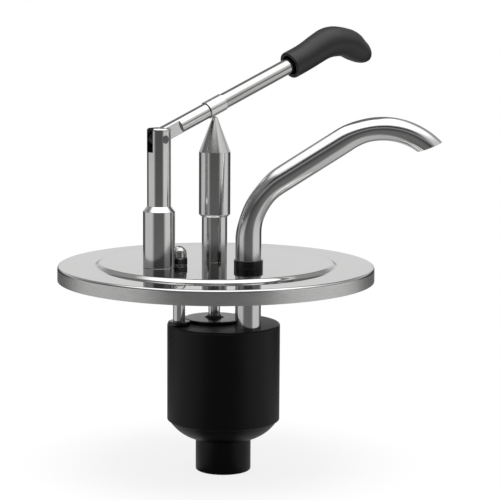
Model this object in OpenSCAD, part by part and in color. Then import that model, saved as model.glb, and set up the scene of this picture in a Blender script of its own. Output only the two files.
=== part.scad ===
// Lever pump for syrup: a round lift-off lid that carries a fulcrum post, a sprung plunger
// with its lever, a bent spout and, hanging below the lid, the pump body with its valves.
// The origin is the centre of the lid, on the underside of its flat rim. +Z is up and +X is
// the way the spout points.

/* [Lid] */
// Outer diameter of the lid
lid_d = 199; // [160:1:260]
// Thickness of the lid's sheet
sheet = 0.8; // [0.5:0.1:1.5]
// Diameter of the raised disc, at the outer foot of its step
disc_d = 153; // [140:1:155]
// Height that the disc is raised above the rim
disc_rise = 2; // [0.5:0.1:4]
// Width of the soft step round the disc
step_w = 4; // [2:0.5:6]
// Height of the lid's edge, from the rim's top to the lower end of the skirt
skirt_h = 9.3; // [5:0.5:20]
// Outer radius of the bend between rim and skirt
skirt_round = 1.6; // [1.2:0.1:3]

/* [Layout] */
// Distance of the plunger's axis from the lid's middle, away from the spout's mouth
plunger_shift = 1.1; // [0:0.1:3]
// Direction of the lever, turned from the spout's direction
lever_azimuth = 36.5; // [20:0.5:60]
// Gap between the fulcrum post and the cap nut beside it
post_gap = 0.15; // [0.1:0.05:8]
// Gap between the tie rod's bush and the cylinder cap's plate beside it
tie_gap = 1.5; // [0.5:0.1:8]
// Pump body's axis, sideways from the plunger's axis
body_x = 6.1; // [4:0.1:8]
// Pump body's axis, to the back of the plunger's axis
body_y = -8.9; // [-10:0.1:-7]
// Direction of the spout tube, seen from the pump body's axis
spout_azimuth = -45; // [-60:1:-40]
// Distance from the spout tube's axis to the pump body's wall
spout_edge = 13.7; // [12:0.1:15]

/* [Fulcrum post] */
// Diameter of the post's foot
post_d = 19.8; // [16:0.1:24]
// Diameter of the post's neck
post_neck_d = 14.7; // [13:0.5:16]
// Height of the thick foot
post_foot_h = 34.7; // [20:0.1:45]
// Height of the cone between foot and neck
post_cone_h = 3.2; // [1:0.1:8]
// Height of the post's top above the lever's pin
post_head_h = 6.7; // [5:0.1:8]
// Radius of the rounded top edge
post_round = 1.5; // [0.5:0.1:2]
// Width of the slot that takes the lever's tang
slot_w = 6.5; // [5:0.1:8]
// Depth of the slot below the lever's pin
slot_drop = 8; // [7:0.1:12]
// Height of the lever's pin above the lid
pin_h = 79.1; // [70:0.1:90]
// Diameter of the lever's pin
pin_d = 5; // [3:0.5:6]
// Depth of the pin's ends below the post's surface
pin_recess = 0.5; // [0.2:0.1:1]
// Diameter of the screw that holds the post
post_screw_d = 8; // [5:1:10]
// Length of that screw's shank
post_screw_l = 16; // [12:1:25]
// Width across flats of its head
post_screw_af = 13; // [12:1:16]
// Height of its head
post_screw_head = 5.3; // [3:0.1:7]
// Diameter of the washer under the lid
post_washer_d = 22; // [18:1:23]
// Thickness of that washer
post_washer_t = 1.6; // [1:0.1:3]

/* [Lever] */
// Height of the lever's axis above its pin, square to the lever
lever_lift = 1.2; // [0:0.1:2]
// Slope of the lever at rest
lever_tilt = 22.3; // [16:0.1:26]
// Diameter of the lever's solid rod
lever_rod_d = 9.8; // [9:0.1:12]
// Width of the flat tang in the post's slot
tang_w = 6.1; // [4:0.1:6.3]
// Distance from the pin to the end of the flats
tang_l = 16; // [14:0.5:25]
// Distance from the pin to the joint of rod and tube
joint_at = 38.5; // [35:0.5:55]
// Width of the groove at that joint
joint_groove = 0.5; // [0.2:0.1:1]
// Length of the rod's spigot in the tube
spigot_l = 20; // [10:1:40]
// Outer diameter of the lever's tube
lever_tube_d = 10; // [9.5:0.1:12.5]
// Wall of the lever's tube
lever_wall = 1.1; // [0.8:0.1:2]
// Outer diameter of the wear sleeve that the plunger's tip presses
wear_d = 11; // [10.5:0.1:13]
// Length of the wear sleeve
wear_l = 12.5; // [8:0.5:24]
// Distance from the pin to the tube's far end
lever_tube_end = 147; // [130:1:150]

/* [Grip] */
// Distance from the pin to the grip's near end
grip_at = 108.5; // [90:1:120]
// Length of the grip along the lever
grip_l = 65.5; // [56:1:80]
// Radius of the grip's near end
grip_r = 8.6; // [7.5:0.1:11]
// Depth that the grip's nose hangs below the lever's axis
grip_drop = 22; // [12:1:30]
// Diameter of the open mouth round the tube
grip_mouth_d = 12.8; // [12:0.1:14]
// Depth of the open mouth
grip_mouth_l = 6; // [2:0.5:12]

/* [Plunger] */
// Travel of the plunger
stroke = 24.7; // [15:0.1:27]
// Diameter of the plunger's cap
cap_d = 19.8; // [19:0.1:24]
// Height of the cap's lower edge above the lid when the plunger is down
cap_clear = 3.9; // [1:0.1:6]
// Chamfer at the cap's lower edge
cap_chamfer = 1.4; // [0.5:0.1:1.6]
// Height of the cap's cone with its rounded tip
cap_cone_h = 22.1; // [18:0.1:28]
// Radius of the rounded tip
cap_tip_r = 2; // [1:0.1:4]
// Length of the cap's bore that guides it on the sleeve
cap_guide_l = 10; // [5:0.5:14]
// Clearance round the sleeve above the guide
cap_relief = 0.6; // [0.3:0.1:0.8]
// Diameter of the plunger's rod
rod_d = 7.4; // [6:0.1:8.5]
// Diameter of the rod's threaded ends
rod_thread_d = 6; // [4:0.5:6]
// Length of the rod's thread in the cap
rod_thread_l = 10; // [6:0.5:12]

/* [Guide sleeve] */
// Outer diameter of the sleeve
sleeve_d = 16; // [15.5:0.1:17]
// Wall of the sleeve
sleeve_wall = 1.3; // [0.8:0.1:1.5]
// Distance that the sleeve's top stays below the cap's ceiling when the plunger is down
sleeve_top_gap = 1.4; // [0.5:0.1:4]
// Height of the spring's seat above the lid
seat_h = 4; // [2:0.5:8]
// Diameter of the sleeve's threaded tail through the lid
tail_d = 14; // [13:0.5:15]
// Length of the tail below the lid
tail_l = 11; // [8:0.5:14]
// Width across flats of the nut on the tail
sleeve_nut_af = 22; // [20:0.5:26]
// Height of that nut
sleeve_nut_h = 6; // [4:0.5:9]
// Outer diameter of the bush that guides the rod
bush_d = 10.5; // [10:0.1:11]
// Length of that bush
bush_l = 14; // [8:0.5:16]

/* [Return spring] */
// Diameter of the spring's wire
wire_d = 1.4; // [0.8:0.1:1.6]
// Mean diameter of the spring's turns
coil_d = 10.8; // [10.4:0.1:11.2]
// Turns of the spring
coil_turns = 14; // [6:1:18]

/* [Spout] */
// Outer diameter of the spout's tube
spout_d = 16; // [14:0.5:17]
// Wall of the spout's tube
spout_wall = 1; // [0.8:0.1:1.5]
// Height of the first bend's start above the lid
spout_rise = 17.4; // [8:0.1:40]
// Radius of the first bend, at the tube's axis
bend_low_r = 44.6; // [30:0.1:60]
// Slope of the spout's straight stretch
spout_slope = 32.7; // [20:0.1:45]
// Length of that stretch
spout_run = 44.9; // [20:0.1:80]
// Radius of the second bend
bend_high_r = 43.4; // [30:0.1:60]
// Turn of the second bend past its highest point
mouth_turn = 41.5; // [25:0.1:60]
// Slope of the cut across the mouth
mouth_slope = 22.2; // [0:0.1:45]
// Outer diameter of the collar on the lid
collar_d = 18; // [17.6:0.1:22]
// Height of the collar
collar_h = 4.8; // [3:0.1:10]
// Radius of the collar's rounded edge
collar_round = 0.3; // [0.1:0.1:0.4]
// Depth of the tube's seat in the pump body
spout_seat_l = 36.8; // [25:0.1:38]

/* [Tie rod] */
// Diameter of the tie rod
tie_d = 7.6; // [7:0.1:9]
// Diameter of its threaded ends
tie_thread_d = 6; // [4:0.5:6.5]
// Length of the lower thread
tie_thread_l = 12; // [8:0.5:14]
// Width across flats of the cap nut
nut_af = 9.8; // [9:0.1:13]
// Height of the nut's hexagon
nut_hex_h = 5; // [3:0.1:7]
// Whole height of the nut with its dome
nut_h = 12; // [11:0.1:16]
// Diameter of the dome
nut_dome_d = 9.5; // [8:0.1:9.5]
// Diameter of the bush on the pump body
tie_bush_d = 13.7; // [12:0.1:14]
// Height of that bush's flange
tie_bush_h = 2.4; // [1:0.1:5]
// Radius of the flange's rounded edge
tie_bush_round = 0.6; // [0.2:0.1:0.8]
// Outer diameter of the bush's shank in the body
tie_shank_d = 10; // [8:0.5:11]

/* [Pump body] */
// Diameter of the pump body
body_d = 70.8; // [67:0.1:90]
// Distance from the lid's top to the body's top
body_drop = 37.7; // [30:0.1:50]
// Height of the body's straight wall
body_h = 61.2; // [60:0.1:80]
// Radius of the body's rounded edges
body_round = 1.2; // [0.5:0.1:2]
// Diameter of the pump chamber
chamber_d = 32; // [24:0.5:33]
// Depth of the threaded recess for the bottom cap
recess_h = 8; // [6:0.5:10]
// Diameter of that recess
recess_d = 58; // [56:0.5:60]
// Diameter of the port under the chamber
port_d = 12; // [6:0.5:16]
// Distance from the piston's lowest place to the chamber's floor
chamber_spare = 2.3; // [1:0.1:4]

/* [Cylinder cap] */
// Width by which the cap's plate is wider than the chamber
plate_over = 5; // [4:0.1:8]
// Height of the plate above the body
plate_h = 2; // [1:0.1:4]
// Radius of the plate's rounded edge
plate_round = 0.5; // [0.2:0.1:0.9]
// Width by which the cap's thread is wider than the chamber
plate_thread_over = 2.6; // [2:0.1:2.8]
// Length of the cap's thread
plate_thread_l = 7.7; // [5:0.1:10]
// Spread of the two spanner holes, to the front and to the back of the rod
spanner_spread = 22; // [18:0.5:28]
// Diameter of the spanner holes
spanner_d = 2; // [1.5:0.1:4]
// Depth of the spanner holes
spanner_l = 3; // [1:0.1:5]
// Diameter of the rod's wiper
wiper_d = 12; // [11:0.1:14]
// Depth of the wiper's seat
wiper_seat = 4; // [2:0.1:5]
// Depth of the wiper's shoulder below the plate's top
wiper_sink = 0.6; // [0.3:0.1:1]
// Height of the wiper's lip above its shoulder
wiper_lip_h = 2; // [0.5:0.1:3]
// Thickness of the lip's upper end
wiper_lip_t = 0.6; // [0.3:0.1:1]

/* [Piston] */
// Height of the piston
piston_h = 12; // [10:0.1:16]
// Clearance of the piston in the chamber
piston_gap = 0.4; // [0.3:0.1:0.8]
// Thickness of the piston's ring seal
piston_seal_t = 3; // [2:0.1:4]
// Width across flats of the piston's nut
piston_nut_af = 10; // [9:0.5:12]
// Height of the piston's nut
piston_nut_h = 4; // [3:0.1:5]
// Diameter of the washer under the nut
piston_washer_d = 12; // [12:0.5:15]
// Thickness of that washer
piston_washer_t = 1.2; // [0.8:0.1:1.6]

/* [Bottom cap] */
// Step between the body's wall and the bottom cap
bottom_step = 1; // [0.5:0.1:3]
// Height of the rounded bottom cap
bottom_h = 12.1; // [10:0.1:20]
// Radius of its rounded side
bottom_arc_r = 26.6; // [22:0.1:40]
// Height of its threaded plug in the body
plug_h = 5; // [3:0.1:6]
// Diameter of the foot
foot_d = 34.8; // [32:0.5:38]
// Height of the foot
foot_h = 20.4; // [18:0.1:30]
// Chamfer at the foot's lower edge
foot_chamfer = 0.8; // [0.4:0.1:2]
// Diameter of the foot's thread in the bottom cap
foot_thread_d = 28; // [24:0.5:30]

/* [Valves] */
// Diameter of the inlet's bore, which takes a dip tube
inlet_d = 12; // [8:0.1:16]
// Depth of the inlet's bore
inlet_l = 12; // [8:0.5:14]
// Diameter of the inlet's ball
inlet_ball_d = 12; // [10:0.5:13]
// Diameter of the outlet's ball
outlet_ball_d = 10; // [8:0.5:10.5]
// Lift of both balls
ball_lift = 2.5; // [1:0.1:3]
// Share of a ball's radius by which its bore is wider
ball_bore_share = 1.28; // [1.2:0.01:1.35]
// Share of a ball's radius that the throat below it has
throat_share = 0.66; // [0.5:0.01:0.7]
// Thickness of the cages that stop the balls
cage_t = 2; // [1:0.1:2.5]
// Width of a cage's bar
cage_bar = 2.4; // [1.5:0.1:4]

/* [Clearances] */
// Gap between parts that slide on each other, on each side
run_gap = 0.05; // [0.02:0.01:0.09]
// Gap between screwed or pushed fits, on each side
fit_gap = 0.05; // [0.02:0.01:0.1]
// Gap between the plunger's tip and the lever
contact_gap = 0.25; // [0.2:0.05:0.5]
// Gap at stops and seats
stop_gap = 0.2; // [0.1:0.05:0.4]
// Gap round screws in their holes through the lid
hole_gap = 0.2; // [0.1:0.05:0.5]
// Diameter of the cross section of small sealing rings
ring_t = 1.6; // [1.2:0.1:1.8]

/* [Hidden] */
$fn = 96;

// Overrun of every cut past the surface that it opens
cut = 1;
// Sides of the grip's rings, sides of the spring's wire and rings in one of its turns
grip_sides = 24;
wire_sides = 6;
turn_rings = 8;
// Steps in the soft step round the lid's disc, and in small, middling and large arcs
step_count = 8;
edge_steps = 6;
dome_steps = 16;
bowl_steps = 24;
// Chamfer of a nut's corners, as a share of its width across flats
nut_chamfer_share = 0.08;
// Extra radius of the spout's bends, as a share of its wall
bend_swell_share = 0.1;

// Heights of the lid and of the pump body
disc_top = sheet + disc_rise;
disc_under = disc_rise;
body_top = disc_top - body_drop;
body_base = body_top - body_h;
gallery_top = body_base + recess_h;

// The cylinder cap fits the chamber, the tie rod stands beside the cap, and the post beside
// the tie rod's nut
plate_d = chamber_d + plate_over;
plate_thread_d = chamber_d + plate_thread_over;
tie_offset = (plate_d + tie_bush_d) / 2 + tie_gap;
post_offset = tie_offset + (post_d + nut_af) / 2 + post_gap;

// Places in plan, from the plunger's axis
plunger_at = [-plunger_shift, 0];
lever_way = [cos(lever_azimuth), sin(lever_azimuth)];
post_at = plunger_at - post_offset * lever_way;
tie_at = plunger_at - tie_offset * lever_way;
body_off = [body_x, body_y];
body_at = plunger_at + body_off;
spout_way = [cos(spout_azimuth), sin(spout_azimuth)];
spout_at = body_at + (body_d / 2 - spout_edge) * spout_way;

// Heights of the fulcrum
pin_z = disc_top + pin_h;
post_top = pin_z + post_head_h;

// The plunger's tip lies under the lever's wear sleeve, the contact gap away from it
tip_reach = wear_d / 2 + cap_tip_r + contact_gap - lever_lift;
tip_z = pin_z + post_offset * tan(lever_tilt) - tip_reach / cos(lever_tilt);
cap_shoulder = tip_z + cap_tip_r - cap_cone_h;
cap_base = disc_top + cap_clear + stroke;
// Slope of the cone that runs from the cap's edge to touch the rounded tip
tip_rise = tip_z - cap_shoulder;
tip_far = sqrt(tip_rise * tip_rise + cap_d * cap_d / 4);
cone_half = atan(cap_d / 2 / tip_rise) - asin(cap_tip_r / tip_far);

// Heights of the sleeve and of the spring in it
sleeve_top = cap_shoulder - stroke - sleeve_top_gap;
seat_z = disc_top + seat_h;
spring_low = seat_z + stop_gap + wire_d / 2;
spring_high = cap_shoulder - stop_gap - wire_d / 2;

// Heights of the piston, which rests under the cylinder cap
plate_low = body_top - plate_thread_l;
piston_top = plate_low - stop_gap;
piston_low = piston_top - piston_h;
chamber_floor = piston_low - stroke - chamber_spare;
chamber_top = plate_low - ring_t + stop_gap;
piston_recess = piston_washer_t + piston_nut_h + stop_gap;

// Heights of the bottom cap, the foot and the inlet's valve
bottom_low = body_base - bottom_h;
foot_low = bottom_low - foot_h;
inlet_r = inlet_ball_d / 2;
inlet_seat = foot_low + inlet_l + inlet_r * (1 - throat_share);
inlet_z = inlet_seat + inlet_r * (sqrt(2) - throat_share) + stop_gap;
inlet_cage_z = inlet_z + inlet_r + ball_lift + stop_gap;

// Heights of the outlet's valve
outlet_r = outlet_ball_d / 2;
outlet_seat = gallery_top + outlet_r * throat_share;
outlet_z = outlet_seat + outlet_r * (sqrt(2) - throat_share) + stop_gap;
outlet_cage_z = outlet_z + outlet_r + ball_lift + stop_gap;
spout_low = max(body_top - spout_seat_l, outlet_cage_z + cage_t + stop_gap);

// Lower end, bends and mouth of the spout, in its own upright plane
bend_low_turn = 90 - spout_slope;
spout_start = disc_top + spout_rise;
run_x = bend_low_r * (1 - cos(bend_low_turn));
run_z = spout_start + bend_low_r * sin(bend_low_turn);
arch_x = run_x + spout_run * cos(spout_slope) + bend_high_r * sin(spout_slope);
arch_z = run_z + spout_run * sin(spout_slope) - bend_high_r * cos(spout_slope);
mouth_x = arch_x + bend_high_r * sin(mouth_turn);
mouth_z = arch_z + bend_high_r * cos(mouth_turn);
// Turn of the bend that the mouth's cut takes off
mouth_spare = 20;

// Stations of the grip: share of its length, height of its axis and turn of the ring as
// shares of its drop and of a right angle, then half height and half width as shares of its
// near end's radius
grip_shares = [
    [0, -0.005, 0, 0.97, 0.96],
    [0.012, -0.005, 0, 1.025, 1.015],
    [0.115, -0.005, 0, 1.025, 1.015],
    [0.19, 0, 0, 1.03, 1.025],
    [0.267, 0.016, 0.01, 1.045, 1.05],
    [0.344, 0.038, 0.03, 1.07, 1.085],
    [0.42, 0.056, 0.03, 1.095, 1.12],
    [0.481, 0.06, 0, 1.135, 1.145],
    [0.534, 0.042, -0.09, 1.15, 1.16],
    [0.588, -0.002, -0.19, 1.145, 1.165],
    [0.64, -0.07, -0.3, 1.115, 1.16],
    [0.697, -0.162, -0.4, 1.083, 1.14],
    [0.75, -0.277, -0.49, 1.085, 1.12],
    [0.796, -0.43, -0.555, 1.06, 1.08],
    [0.833, -0.585, -0.6, 0.96, 0.99],
    [0.875, -0.742, -0.63, 0.84, 0.87],
    [0.908, -0.88, -0.665, 0.65, 0.66],
    [0.928, -0.968, -0.68, 0.43, 0.44],
    [0.938, -1.015, -0.69, 0.2, 0.22]
];

// Frames in which the pieces are drawn
module at(place, z = 0) {
    translate([place[0], place[1], z])
        children();
}

module along_lever() {
    at(post_at, pin_z)
        rotate([0, -lever_tilt, lever_azimuth])
            translate([0, 0, lever_lift])
                children();
}

// Shapes that several pieces share
module tube(d, bore, h) {
    difference() {
        cylinder(d = d, h = h);
        translate([0, 0, -cut])
            cylinder(d = bore, h = h + 2 * cut);
    }
}

// Points of an arc round a centre
function arc(centre, r, from, to, steps) = [for (i = [0 : steps])
    let (a = from + (to - from) * i / steps) centre + r * [cos(a), sin(a)]];

// A turned piece, from its half outline as radius and height
module turned(outline) {
    rotate_extrude()
        polygon(outline);
}

// A hexagon whose corners are turned off at both ends
module nut_blank(af, h) {
    chamfer = af * nut_chamfer_share;
    face_r = af / 2;
    wide_r = face_r + 2 * chamfer;
    intersection() {
        cylinder(d = af / cos(30), h = h, $fn = 6);
        turned([[0, 0], [face_r, 0], [wide_r, chamfer], [wide_r, h - chamfer], [face_r, h],
            [0, h]]);
    }
}

module ring_seal(d, thick) {
    rotate_extrude()
        translate([d / 2, 0])
            circle(d = thick);
}

// Half outline of a turned bar with a rounded upper edge
function bar_outline(d, h, edge) = concat(
    [[0, 0], [d / 2, 0]], arc([d / 2 - edge, h - edge], edge, 0, 90, edge_steps), [[0, h]]);

// Half outline of a bar with a round top
function domed_outline(d, h) = concat(
    [[0, 0], [d / 2, 0]], arc([0, h - d / 2], d / 2, 0, 90, dome_steps));

// A ring with a cross in it, which stops a valve's ball
module cage(d, bore) {
    tube(d, bore, cage_t);
    intersection() {
        cylinder(d = d, h = cage_t);
        union() {
            translate([-d / 2, -cage_bar / 2, 0])
                cube([d, cage_bar, cage_t]);
            translate([-cage_bar / 2, -d / 2, 0])
                cube([cage_bar, d, cage_t]);
        }
    }
}

// Faces of a closed skin over rings of points, each ring with the same number of sides
function skin_faces(rings, sides) = concat(
    [for (k = [1 : sides - 2]) [0, k + 1, k]],
    [for (i = [0 : rings - 2], k = [0 : sides - 1])
        [i * sides + k, i * sides + (k + 1) % sides, (i + 1) * sides + (k + 1) % sides]],
    [for (i = [0 : rings - 2], k = [0 : sides - 1])
        [i * sides + k, (i + 1) * sides + (k + 1) % sides, (i + 1) * sides + k]],
    [for (k = [1 : sides - 2]) let (e = (rings - 1) * sides) [e, e + k, e + k + 1]]
);

// Lid: flat rim, skirt and raised disc from one sheet, with four holes
function step_height(t) = disc_rise * (1 + cos(180 * t)) / 2;

// Half outline of the lid, from the disc's middle along the upper side and back below
function lid_outline() = let (
        flat_r = lid_d / 2 - skirt_round,
        top_r = disc_d / 2 - step_w,
        bend = [flat_r, sheet - skirt_round],
        low = sheet - skirt_h
    ) concat(
        [[0, disc_top]],
        [for (i = [0 : step_count]) let (t = i / step_count)
            [top_r + step_w * t, sheet + step_height(t)]],
        arc(bend, skirt_round, 90, 0, edge_steps),
        [[lid_d / 2, low], [lid_d / 2 - sheet, low]],
        arc(bend, skirt_round - sheet, 0, 90, edge_steps),
        [for (i = [step_count : -1 : 0]) let (t = i / step_count)
            [top_r + step_w * t, step_height(t)]],
        [[0, disc_under]]
    );

module lid() {
    color("silver")
        difference() {
            turned(lid_outline());
            at(plunger_at, -cut)
                cylinder(d = tail_d + 2 * hole_gap, h = disc_top + 2 * cut);
            at(post_at, -cut)
                cylinder(d = post_screw_d + 2 * hole_gap, h = disc_top + 2 * cut);
            at(tie_at, -cut)
                cylinder(d = tie_thread_d + 2 * hole_gap, h = disc_top + 2 * cut);
            at(spout_at, -cut)
                cylinder(d = spout_hole_d + 2 * fit_gap, h = disc_top + 2 * cut);
        }
}

// Fulcrum post, forked at the top
post_thread_l = post_screw_l - post_washer_t - sheet + stop_gap;

function post_outline() = let (foot_r = post_d / 2, neck_r = post_neck_d / 2) concat(
    [[0, disc_top], [foot_r, disc_top], [foot_r, disc_top + post_foot_h],
        [neck_r, disc_top + post_foot_h + post_cone_h]],
    arc([neck_r - post_round, post_top - post_round], post_round, 0, 90, edge_steps),
    [[0, post_top]]
);

module fulcrum_post() {
    color("silver")
        at(post_at)
            difference() {
                turned(post_outline());
                rotate([0, 0, lever_azimuth])
                    translate([-post_d, -slot_w / 2, pin_z - slot_drop])
                        cube([2 * post_d, slot_w, slot_drop + post_head_h + cut]);
                translate([0, 0, pin_z])
                    rotate([90, 0, lever_azimuth])
                        cylinder(d = pin_d + 2 * fit_gap, h = 2 * post_d, center = true);
                translate([0, 0, disc_top - cut])
                    cylinder(d = post_screw_d + 2 * fit_gap, h = post_thread_l + cut);
            }
}

module post_screw() {
    color("silver")
        at(post_at, disc_under - post_washer_t - post_screw_head) {
            cylinder(d = post_screw_d, h = post_screw_head + post_screw_l);
            nut_blank(post_screw_af, post_screw_head);
        }
}

module post_washer() {
    color("silver")
        at(post_at, disc_under - post_washer_t)
            tube(post_washer_d, post_screw_d + 2 * fit_gap, post_washer_t);
}

module pivot_pin() {
    pin_l = post_neck_d - 2 * pin_recess;
    color("silver")
        at(post_at, pin_z)
            rotate([90, 0, lever_azimuth])
                cylinder(d = pin_d, h = pin_l, center = true);
}

// Guide sleeve of the plunger, clamped in the lid by its tail
module guide_sleeve() {
    tail_low = disc_under - tail_l;
    outer_r = sleeve_d / 2;
    tail_r = tail_d / 2;
    bore_r = sleeve_d / 2 - sleeve_wall;
    bush_r = bush_d / 2 + fit_gap;
    color("silver")
        at(plunger_at)
            turned([[bush_r, tail_low], [tail_r, tail_low], [tail_r, disc_top],
                [outer_r, disc_top], [outer_r, sleeve_top], [bore_r, sleeve_top],
                [bore_r, seat_z], [bush_r, seat_z]]);
}

module sleeve_nut() {
    color("silver")
        at(plunger_at, disc_under - sleeve_nut_h)
            difference() {
                nut_blank(sleeve_nut_af, sleeve_nut_h);
                translate([0, 0, -cut])
                    cylinder(d = tail_d + 2 * fit_gap, h = sleeve_nut_h + 2 * cut);
            }
}

module rod_bush() {
    color("dimgray")
        at(plunger_at, seat_z - bush_l)
            tube(bush_d, rod_d + 2 * run_gap, bush_l);
}

// Return spring: one unbroken helix in the sleeve, round the rod
spring_pitch = (spring_high - spring_low) / coil_turns;
spring_lead = atan(spring_pitch / (PI * coil_d));
function spring_centre(i) = let (a = 360 * i / turn_rings)
    [coil_d / 2 * cos(a), coil_d / 2 * sin(a), spring_low + spring_pitch * i / turn_rings];
function spring_ring(i) = let (a = 360 * i / turn_rings)
    [for (k = [0 : wire_sides - 1]) let (t = 360 * k / wire_sides)
        spring_centre(i) + wire_d / 2 * (cos(t) * [cos(a), sin(a), 0]
            + sin(t) * [sin(a) * sin(spring_lead), -cos(a) * sin(spring_lead),
                cos(spring_lead)])];
spring_rings = coil_turns * turn_rings + 1;
spring_points = [for (i = [0 : spring_rings - 1]) each spring_ring(i)];
// Least gap between the first turn's points and those of the next one
spring_gap = min([for (i = [0 : turn_rings - 1], j = [turn_rings / 2 : 2 * turn_rings - 1])
    abs(j - i) < turn_rings / 2 ? coil_d : norm(spring_centre(i) - spring_centre(j)) - wire_d]);
echo(spring_gap = spring_gap);

module return_spring() {
    color("lightgray")
        at(plunger_at)
            polyhedron(spring_points, skin_faces(spring_rings, wire_sides));
}

// Tie rod with its cap nut on the lid and its bush in the pump body
module acorn_nut() {
    dome_r = nut_dome_d / 2;
    color("silver")
        at(tie_at, disc_top)
            difference() {
                union() {
                    rotate([0, 0, lever_azimuth + 30])
                        nut_blank(nut_af, nut_hex_h);
                    turned(domed_outline(nut_dome_d, nut_h));
                }
                translate([0, 0, -cut])
                    cylinder(d = tie_thread_d + 2 * fit_gap, h = nut_h - dome_r + cut);
            }
}

tie_low = body_top + tie_bush_h;

module tie_rod() {
    thread_top = disc_top + nut_hex_h;
    thread_low = tie_low - tie_thread_l;
    color("silver")
        at(tie_at) {
            translate([0, 0, tie_low])
                cylinder(d = tie_d, h = disc_under - tie_low);
            translate([0, 0, thread_low])
                cylinder(d = tie_thread_d, h = thread_top - thread_low);
        }
}

module tie_rod_bush() {
    shank_l = tie_thread_l + tie_bush_h / 2;
    color("black")
        at(tie_at, body_top)
            difference() {
                union() {
                    turned(bar_outline(tie_bush_d, tie_bush_h, tie_bush_round));
                    translate([0, 0, -shank_l])
                        cylinder(d = tie_shank_d, h = shank_l + tie_bush_h / 2);
                }
                translate([0, 0, tie_bush_h - tie_thread_l - stop_gap])
                    cylinder(d = tie_thread_d + 2 * fit_gap, h = tie_thread_l + cut);
            }
}

// Spout: upright, first bend, straight stretch and second bend, with a slanting mouth. The
// straight stretches run a little way into the bends, which are wider by the bend's swell.
module spout_bend(r, tube_r, turn) {
    rotate([90, 0, 0])
        rotate_extrude(angle = turn)
            translate([r, 0])
                circle(r = tube_r);
}

module spout_core(tube_r, low) {
    lap = spout_wall / 2;
    bend_r = tube_r + spout_wall * bend_swell_share;
    translate([0, 0, low])
        cylinder(r = tube_r, h = spout_start - low + lap);
    translate([bend_low_r, 0, spout_start])
        mirror([1, 0, 0])
            spout_bend(bend_low_r, bend_r, bend_low_turn);
    translate([run_x, 0, run_z])
        rotate([0, bend_low_turn, 0])
            translate([0, 0, -lap])
                cylinder(r = tube_r, h = spout_run + 2 * lap);
    translate([arch_x, 0, arch_z])
        rotate([0, mouth_turn + mouth_spare - 90, 0])
            spout_bend(bend_high_r, bend_r, spout_slope + mouth_turn + mouth_spare);
}

module spout_tube() {
    reach = 3 * spout_d;
    outer_r = spout_d / 2;
    color("silver")
        at(spout_at)
            difference() {
                spout_core(outer_r, spout_low);
                spout_core(outer_r - spout_wall, spout_low - cut);
                translate([mouth_x, 0, mouth_z])
                    rotate([0, -mouth_slope, 0])
                        translate([-spout_d, -spout_d, -reach])
                            cube([reach, 2 * spout_d, reach]);
            }
}

spout_hole_d = spout_d + (collar_d - spout_d) / 2;

module spout_collar() {
    tail = sheet + (collar_d - spout_d) / 2;
    bore_r = spout_d / 2 + fit_gap;
    hole_r = spout_hole_d / 2;
    color("black")
        at(spout_at, disc_top)
            turned(concat(
                [[bore_r, -tail], [hole_r, -tail], [hole_r, 0], [collar_d / 2, 0]],
                arc([collar_d / 2 - collar_round, collar_h - collar_round], collar_round,
                    0, 90, edge_steps),
                [[bore_r, collar_h]]
            ));
}

// A ring seal is held in a groove with the fit gap all round
function groove_d(bore, thick) = bore + 2 * thick + 4 * fit_gap;
spout_groove_z = body_top - 2 * ring_t;

module spout_seal() {
    color("black")
        at(spout_at, spout_groove_z)
            ring_seal(spout_d + ring_t + 2 * fit_gap, ring_t);
}

// Pump body: a turned block with the chamber, the riser, the gallery recess and the tie
// rod's seat
module pump_body() {
    throat_r = outlet_r * throat_share;
    ball_bore_r = outlet_r * ball_bore_share;
    seat_top = outlet_seat + ball_bore_r - throat_r;
    tube_r = spout_d / 2 + fit_gap;
    over = body_top + cut;
    color([0.13, 0.13, 0.14])
        difference() {
            at(body_at, body_base)
                difference() {
                    turned(bar_outline(body_d, body_h, body_round));
                    translate([0, 0, -cut])
                        cylinder(d = recess_d, h = recess_h + cut);
                }
            // Port, chamber and its wider mouth for the cylinder cap
            at(plunger_at)
                turned([[0, gallery_top - cut], [port_d / 2, gallery_top - cut],
                    [port_d / 2, chamber_floor], [chamber_d / 2, chamber_floor],
                    [chamber_d / 2, chamber_top], [plate_thread_d / 2 + fit_gap, chamber_top],
                    [plate_thread_d / 2 + fit_gap, over], [0, over]]);
            // Outlet: throat, seat, ball's bore and the tube's seat
            at(spout_at)
                turned([[0, gallery_top - cut], [throat_r, gallery_top - cut],
                    [throat_r, outlet_seat], [ball_bore_r, seat_top],
                    [ball_bore_r, outlet_cage_z], [tube_r, outlet_cage_z],
                    [tube_r, over], [0, over]]);
            at(spout_at, spout_groove_z - ring_t / 2 - fit_gap)
                cylinder(d = groove_d(spout_d, ring_t), h = ring_t + 2 * fit_gap);
            // Seat of the tie rod's bush
            at(tie_at, body_top - tie_thread_l - tie_bush_h)
                cylinder(d = tie_shank_d + 2 * fit_gap, h = tie_thread_l + tie_bush_h + cut);
        }
}

// Cylinder cap: the screwed plate that closes the chamber and guides the rod
wiper_low = body_top + plate_h - wiper_seat;

module cylinder_cap() {
    thread_r = plate_thread_d / 2;
    plate_top = body_top + plate_h;
    rod_r = rod_d / 2 + run_gap;
    seat_r = wiper_d / 2 + fit_gap;
    color([0.16, 0.16, 0.17])
        at(plunger_at)
            difference() {
                turned(concat(
                    [[rod_r, plate_low], [thread_r, plate_low], [thread_r, body_top],
                        [plate_d / 2, body_top]],
                    arc([plate_d / 2 - plate_round, plate_top - plate_round], plate_round,
                        0, 90, edge_steps),
                    [[seat_r, plate_top], [seat_r, wiper_low], [rod_r, wiper_low]]
                ));
                for (side = [-1, 1])
                    at([0, side * spanner_spread / 2], plate_top - spanner_l)
                        cylinder(d = spanner_d, h = spanner_l + cut);
            }
}

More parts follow.
